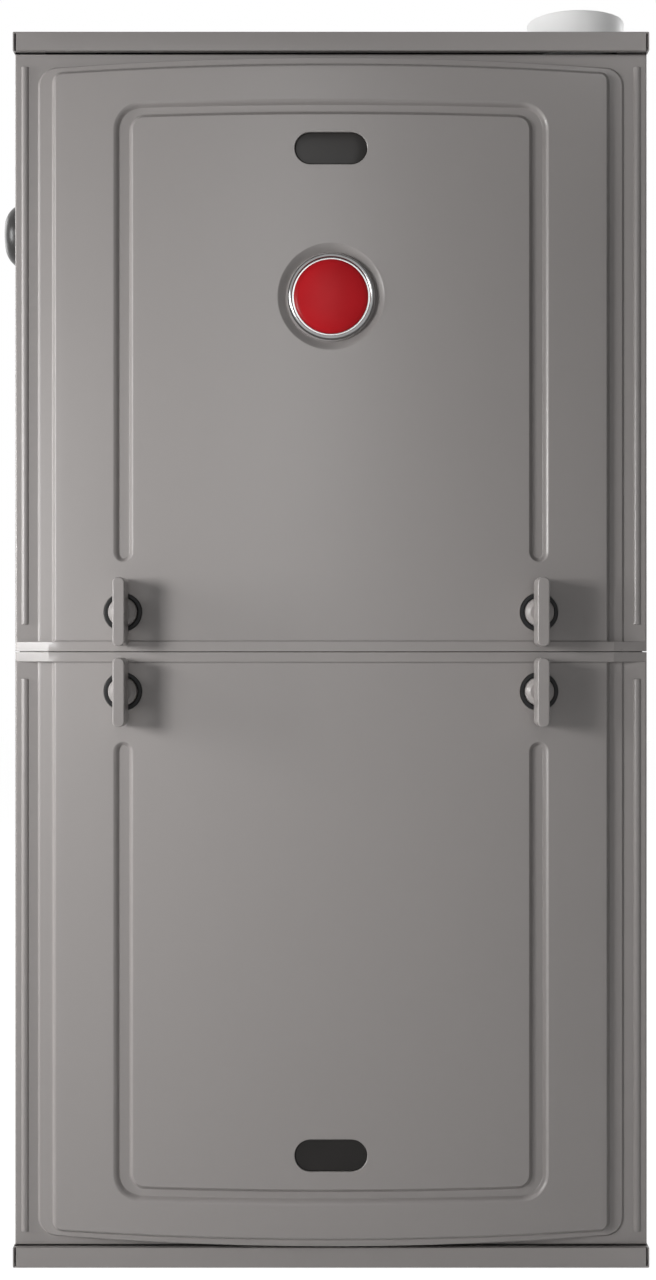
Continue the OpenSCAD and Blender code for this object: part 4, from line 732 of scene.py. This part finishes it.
def sightLens(name, z):
    lens = slotBlock(name, z, window["wide"], window["tall"], window["front"], window["back"])
    pick("FACE", lambda p, n: n.y < -0.9)
    stepIn(window["crown"])
    closePiece()
    flange = slotBlock("flange", z, window["flangeWide"], window["flangeTall"], window["flangeFront"],
                       window["flangeBack"])
    closePiece()
    join(lens, flange, "UNION")
    return lens


upperLens = sightLens("sightLensUpper", window["upperZ"])
lowerLens = sightLens("sightLensLower", window["lowerZ"])
badgeRing = turned("badgeRingChrome", badge["ring"], badge["place"], "Y", 96)
badgeDome = turned("badgeDomeRed", badge["dome"], badge["place"], "Y", 96, False)
for piece in (upperLens, lowerLens, badgeRing, badgeDome):
    smooth(piece, 35)
    print(piece.name, len(piece.data.polygons), "faces")


# Finishes
def finish(name, colour, rough, metal=0.0, gloss=0.5):
    material = bpy.data.materials.new(name)
    material.use_nodes = True
    shader = material.node_tree.nodes["Principled BSDF"]
    shader.inputs["Base Color"].default_value = (*colour, 1)
    shader.inputs["Roughness"].default_value = rough
    shader.inputs["Metallic"].default_value = metal
    shader.inputs["Specular IOR Level"].default_value = gloss
    return material


def grain(material, scale, low, high, bump, bumpScale, rough, stretch=(1, 1, 1), kind="noise"):
    # colour that varies between two tones, with a fine relief and an uneven gloss
    tree = material.node_tree
    shader = tree.nodes["Principled BSDF"]
    place = tree.nodes.new("ShaderNodeTexCoord")
    mapping = tree.nodes.new("ShaderNodeMapping")
    mapping.inputs["Scale"].default_value = stretch
    tree.links.new(place.outputs["Object"], mapping.inputs["Vector"])
    if kind == "cells":
        pattern = tree.nodes.new("ShaderNodeTexVoronoi")
        pattern.inputs["Scale"].default_value = scale
        separate = tree.nodes.new("ShaderNodeSeparateColor")
        tree.links.new(pattern.outputs["Color"], separate.inputs[0])
        value = separate.outputs[0]
    else:
        pattern = tree.nodes.new("ShaderNodeTexNoise")
        pattern.inputs["Scale"].default_value = scale
        pattern.inputs["Detail"].default_value = 3
        value = pattern.outputs["Fac"]
    tree.links.new(mapping.outputs["Vector"], pattern.inputs["Vector"])
    ramp = tree.nodes.new("ShaderNodeValToRGB")
    for element, position, tone in zip(ramp.color_ramp.elements, (0.3, 0.7), (low, high)):
        element.position = position
        element.color = (*tone, 1)
    tree.links.new(value, ramp.inputs["Fac"])
    tree.links.new(ramp.outputs["Color"], shader.inputs["Base Color"])
    span = tree.nodes.new("ShaderNodeMapRange")
    span.inputs["To Min"].default_value, span.inputs["To Max"].default_value = rough
    tree.links.new(value, span.inputs["Value"])
    tree.links.new(span.outputs["Result"], shader.inputs["Roughness"])
    fine = tree.nodes.new("ShaderNodeTexNoise")
    fine.inputs["Scale"].default_value = bumpScale
    fine.inputs["Detail"].default_value = 2
    relief = tree.nodes.new("ShaderNodeBump")
    relief.inputs["Strength"].default_value = bump
    relief.inputs["Distance"].default_value = 0.0002
    tree.links.new(mapping.outputs["Vector"], fine.inputs["Vector"])
    tree.links.new(fine.outputs["Fac"], relief.inputs["Height"])
    tree.links.new(relief.outputs["Normal"], shader.inputs["Normal"])
    return material


def shade(colour, factor):
    return tuple(c * factor for c in colour)


greyPaint = (0.264, 0.247, 0.240)
# Each finish: its shader, then pattern size, low and high tone, relief and its size, gloss from and to
looks = {
    "paint": grain(finish("satinGreyPaint", greyPaint, 0.4, 0, 0.4), 3,
          shade(greyPaint, 0.985), shade(greyPaint, 1.015), 0.06, 700, (0.27, 0.31)),
    "knob": grain(finish("knobGrey", greyPaint, 0.4, 0, 0.3), 40,
          shade(greyPaint, 0.98), shade(greyPaint, 1.02), 0.06, 900, (0.27, 0.31)),
    "galvanised": grain(finish("zincSheet", (0.4, 0.41, 0.42), 0.45, 0.7), 90,
          (0.33, 0.34, 0.35), (0.46, 0.47, 0.48), 0.1, 500, (0.4, 0.55), kind="cells"),
    "stainless": grain(finish("drawnStainless", (0.46, 0.45, 0.44), 0.32, 1), 20,
          (0.40, 0.39, 0.38), (0.50, 0.49, 0.475), 0.15, 700, (0.28, 0.40), (1, 1, 6)),
    "screw_steel": grain(finish("platedSteel", (0.42, 0.42, 0.43), 0.3, 1), 200,
          (0.36, 0.36, 0.37), (0.48, 0.48, 0.49), 0.1, 1500, (0.24, 0.36)),
    "black_rubber": grain(finish("mouldedRubber", (0.02, 0.02, 0.02), 0.4, 0, 0.25), 60,
          (0.014, 0.014, 0.014), (0.024, 0.023, 0.022), 0.1, 900, (0.24, 0.36)),
    "dark_lens": grain(finish("darkLens", (0.02, 0.019, 0.018), 0.2, 0, 0.15), 30,
          (0.015, 0.014, 0.013), (0.020, 0.018, 0.017), 0.03, 400, (0.16, 0.24)),
    "black_plastic": grain(finish("blackPlastic", (0.02, 0.02, 0.02), 0.45, 0, 0.15), 50,
          (0.012, 0.012, 0.012), (0.019, 0.019, 0.020), 0.25, 1200, (0.38, 0.5)),
    "insulation": grain(finish("fibrePad", (0.05, 0.05, 0.053), 0.95), 300,
          (0.03, 0.03, 0.033), (0.09, 0.09, 0.095), 1.0, 900, (0.85, 1)),
    "chrome_trim": grain(finish("chromeTrim", (0.3, 0.3, 0.3), 0.2, 1), 60,
          (0.27, 0.27, 0.27), (0.33, 0.33, 0.33), 0.02, 800, (0.16, 0.24)),
    "red_enamel": grain(finish("redEnamel", (0.40, 0.008, 0.012), 0.22, 0, 0.1), 25,
          (0.38, 0.007, 0.011), (0.45, 0.010, 0.015), 0.03, 300, (0.26, 0.34)),
    "red_plastic": grain(finish("redPlastic", (0.35, 0.012, 0.01), 0.4), 50,
          (0.30, 0.010, 0.008), (0.38, 0.016, 0.012), 0.15, 900, (0.34, 0.46)),
    "black_iron": grain(finish("blackIronPipe", (0.03, 0.03, 0.032), 0.5, 0.4), 60,
          (0.022, 0.022, 0.024), (0.05, 0.048, 0.047), 0.4, 500, (0.42, 0.6)),
    "brass": grain(finish("machinedBrass", (0.62, 0.42, 0.14), 0.3, 1), 80,
          (0.55, 0.36, 0.12), (0.70, 0.49, 0.18), 0.1, 900, (0.24, 0.38)),
    "cast_aluminium": grain(finish("castAluminium", (0.43, 0.44, 0.45), 0.5, 0.9), 120,
          (0.37, 0.38, 0.39), (0.48, 0.49, 0.50), 0.5, 700, (0.42, 0.6)),
    "ceramic": grain(finish("creamCeramic", (0.75, 0.71, 0.62), 0.6), 150,
          (0.70, 0.66, 0.57), (0.80, 0.77, 0.69), 0.3, 900, (0.55, 0.7)),
    "pale_plastic": grain(finish("paleMoulding", (0.70, 0.70, 0.67), 0.45), 30,
          (0.67, 0.67, 0.64), (0.73, 0.73, 0.70), 0.15, 900, (0.4, 0.5)),
    "white_pvc": grain(finish("whitePipe", (0.88, 0.88, 0.875), 0.3), 14,
          (0.87, 0.87, 0.865), (0.90, 0.90, 0.895), 0.06, 400, (0.32, 0.42)),
    "circuit_board": grain(finish("boardGreen", (0.015, 0.10, 0.04), 0.4), 260,
          (0.012, 0.085, 0.03), (0.03, 0.17, 0.07), 0.3, 600, (0.34, 0.5), kind="cells"),
    "laminations": grain(finish("steelStack", (0.05, 0.05, 0.053), 0.45, 0.5), 30,
          (0.035, 0.035, 0.038), (0.08, 0.08, 0.085), 0.6, 60, (0.38, 0.55), (1, 12, 1)),
    "motor_paint": grain(finish("motorEnamel", (0.022, 0.027, 0.04), 0.35), 30,
          (0.019, 0.023, 0.035), (0.028, 0.034, 0.049), 0.12, 700, (0.3, 0.42)),
}

print(len(looks), "finishes")


def mathNode(tree, operation, *values):
    # each value is another node's socket or a plain number
    node = tree.nodes.new("ShaderNodeMath")
    node.operation = operation
    for slot, value in zip(node.inputs, values):
        if isinstance(value, (int, float)):
            slot.default_value = value
        else:
            tree.links.new(value, slot)
    return node.outputs[0]


def placeNode(tree):
    place = tree.nodes.new("ShaderNodeTexCoord")
    split = tree.nodes.new("ShaderNodeSeparateXYZ")
    tree.links.new(place.outputs["Object"], split.inputs[0])
    return split.outputs


# The parts on the control board, told apart by where they stand
boardParts = {"back": 6.9, "terminalRow": 30, "relay": (0.022, 0.024, 0.032), "terminal": (0.58, 0.56, 0.48)}


def paintBoardParts(material, board):
    # relays and capacitors read dark, and the terminal row pale, where they stand off the board
    tree = material.node_tree
    colour = tree.nodes["Principled BSDF"].inputs["Base Color"]
    corners = [Vector(corner) for corner in board.bound_box]
    front = max(corner.y for corner in corners) - boardParts["back"] * mm
    row = min(corner.z for corner in corners) + boardParts["terminalRow"] * mm
    axes = placeNode(tree)
    standsOff = mathNode(tree, "LESS_THAN", axes["Y"], front)
    inRow = mathNode(tree, "LESS_THAN", axes["Z"], row)
    parts = tree.nodes.new("ShaderNodeMix")
    parts.data_type = "RGBA"
    parts.inputs[6].default_value = (*boardParts["relay"], 1)
    parts.inputs[7].default_value = (*boardParts["terminal"], 1)
    tree.links.new(inRow, parts.inputs[0])
    whole = tree.nodes.new("ShaderNodeMix")
    whole.data_type = "RGBA"
    tree.links.new(colour.links[0].from_socket, whole.inputs[6])
    tree.links.new(parts.outputs[2], whole.inputs[7])
    tree.links.new(standsOff, whole.inputs[0])
    tree.links.new(whole.outputs[2], colour)


slotOf = {row["node"]: row["material_slot"] for row in frame["record"]["subparts"]}
for name, piece in nodes.items():
    piece.data.materials.clear()
    piece.data.materials.append(looks[slotOf[name]])

paintBoardParts(looks["circuit_board"], nodes["control_board"])

bodies = frame["record"]["behaviour"]["bodies"]
bodyOf = {node: body for body, members in bodies.items() for node in members}
pieceFor = {"upper_door": upperDoor, "lower_door": lowerDoor, "top_plate": cap, "base_pan": base,
            "cabinet_screws": screws, "upper_bushes": upperBushes, "lower_bushes": lowerBushes,
            "vent_coupling": coupling, "intake_collar": collar, "gas_grommet": grommet,
            "upper_window": upperLens, "lower_window": lowerLens,
            "badge_ring": badgeRing, "badge_disc": badgeDome, **knobs}
for node, piece in pieceFor.items():
    dress(piece, looks[slotOf[node]], bodyOf[node], node)
print(len(pieceFor), "pieces dressed")


# Floor, light and camera
studio = {"air": (0.97, 0.98, 1.0), "airStrength": 0.045, "floor": 14, "floorZ": -0.0005, "floorWhite": 1.2,
          "floorShare": 0.8, "cabinetHalf": (200, 320)}
view = {"place": (-0.0021, -1.762, 0.4386), "lens": 56.4, "sensor": 36, "near": 0.01}


def lamp(name, place, aim, size, watts, colour=(1, 1, 1), spread=180):
    light = bpy.data.lights.new(name, "AREA")
    light.shape = "RECTANGLE"
    light.size, light.size_y = size
    light.energy = watts
    light.color = colour
    light.spread = math.radians(spread)
    holder = bpy.data.objects.new(name, light)
    bpy.context.scene.collection.objects.link(holder)
    holder.location = place
    holder.rotation_euler = (Vector(aim) - Vector(place)).to_track_quat("-Z", "Y").to_euler()


def outsideCabinet(tree, halves):
    # 0 on the floor inside the cabinet's base, where little light comes, and 1 around it
    axes = placeNode(tree)
    beyond = [mathNode(tree, "GREATER_THAN", mathNode(tree, "ABSOLUTE", axes[i]), half * mm)
              for i, half in enumerate(halves)]
    return mathNode(tree, "MAXIMUM", *beyond)


def whiteForCamera(tree, shaderOut, mixOut, white, strength, *shares):
    # the background reads white to the camera, in gloss and through glass, by the product of the shares
    path = tree.nodes.new("ShaderNodeLightPath")
    factor = mathNode(tree, "MAXIMUM", path.outputs["Is Camera Ray"], path.outputs["Is Glossy Ray"])
    factor = mathNode(tree, "MAXIMUM", factor, path.outputs["Is Transmission Ray"])
    for share in shares:
        factor = mathNode(tree, "MULTIPLY", factor, share)
    mix = tree.nodes.new("ShaderNodeMixShader")
    tree.links.new(factor, mix.inputs[0])
    tree.links.new(shaderOut, mix.inputs[1])
    shine = tree.nodes.new(white)
    shine.inputs["Color"].default_value = (1, 1, 1, 1)
    shine.inputs["Strength"].default_value = strength
    tree.links.new(shine.outputs[0], mix.inputs[2])
    tree.links.new(mix.outputs[0], mixOut)


world = bpy.data.worlds.new("studio")
bpy.context.scene.world = world
world.use_nodes = True
around = world.node_tree.nodes["Background"]
around.inputs["Color"].default_value = (*studio["air"], 1)
around.inputs["Strength"].default_value = studio["airStrength"]
worldOut = world.node_tree.nodes["World Output"].inputs["Surface"]
whiteForCamera(world.node_tree, around.outputs[0], worldOut, "ShaderNodeBackground", 1)

clearSelection()
bpy.ops.mesh.primitive_plane_add(size=studio["floor"], location=(0, 0, studio["floorZ"]))
floor = bpy.context.object
floor.name = "studioFloor"
settle(floor)
floorLook = finish("paleFloor", (0.86, 0.86, 0.86), 0.7)
floor.data.materials.append(floorLook)
tree = floorLook.node_tree
floorOut = tree.nodes["Material Output"].inputs["Surface"]
whiteForCamera(tree, tree.nodes["Principled BSDF"].outputs[0], floorOut, "ShaderNodeEmission",
               studio["floorWhite"], studio["floorShare"], outsideCabinet(tree, studio["cabinetHalf"]))

# Each lamp: place, aim, size, watts, colour and spread in degrees
lamp("mainLeft", (-1.9, -2.1, 0.7), (0, -0.36, 0.45), (0.9, 0.6), 5.1, (1, 0.995, 0.99), 90)
lamp("keyLeft", (-0.94, -1.26, 0.55), (-0.02, -0.36, 0.44), (0.3, 0.3), 1.15, (1, 1, 1), 70)
lamp("bandAhead", (-0.135, -2.5, 1.0), (0, -0.36, 0.52), (0.43, 0.95), 1.07, (1, 1, 1), 90)
lamp("edgeLight", (-2.4, -0.75, 0.8), (-0.1, -0.36, 0.46), (0.3, 1.0), 34)
lamp("pipeLamp", (0.42, -0.85, 1.1), (0.18, -0.3, 0.9), (0.06, 0.06), 0.020, (1, 1, 1), 36)
lamp("behindRight", (1.9, 1.1, 1.1), (0.1, 0.1, 0.45), (1.2, 1.2), 22)
lamp("behindLeft", (-1.9, 1.3, 1.1), (-0.1, 0.1, 0.45), (1.2, 1.2), 14)

camera = bpy.data.cameras.new("photoCamera")
camera.sensor_fit = "VERTICAL"
camera.sensor_height = view["sensor"]
camera.lens = view["lens"]
camera.clip_start = view["near"]
viewer = bpy.data.objects.new("photoCamera", camera)
bpy.context.scene.collection.objects.link(viewer)
viewer.location = view["place"]
viewer.rotation_euler = (math.pi / 2, 0, 0)
bpy.context.scene.camera = viewer
bpy.context.scene.view_settings.view_transform = "Standard"
print("studio, lamps and camera")
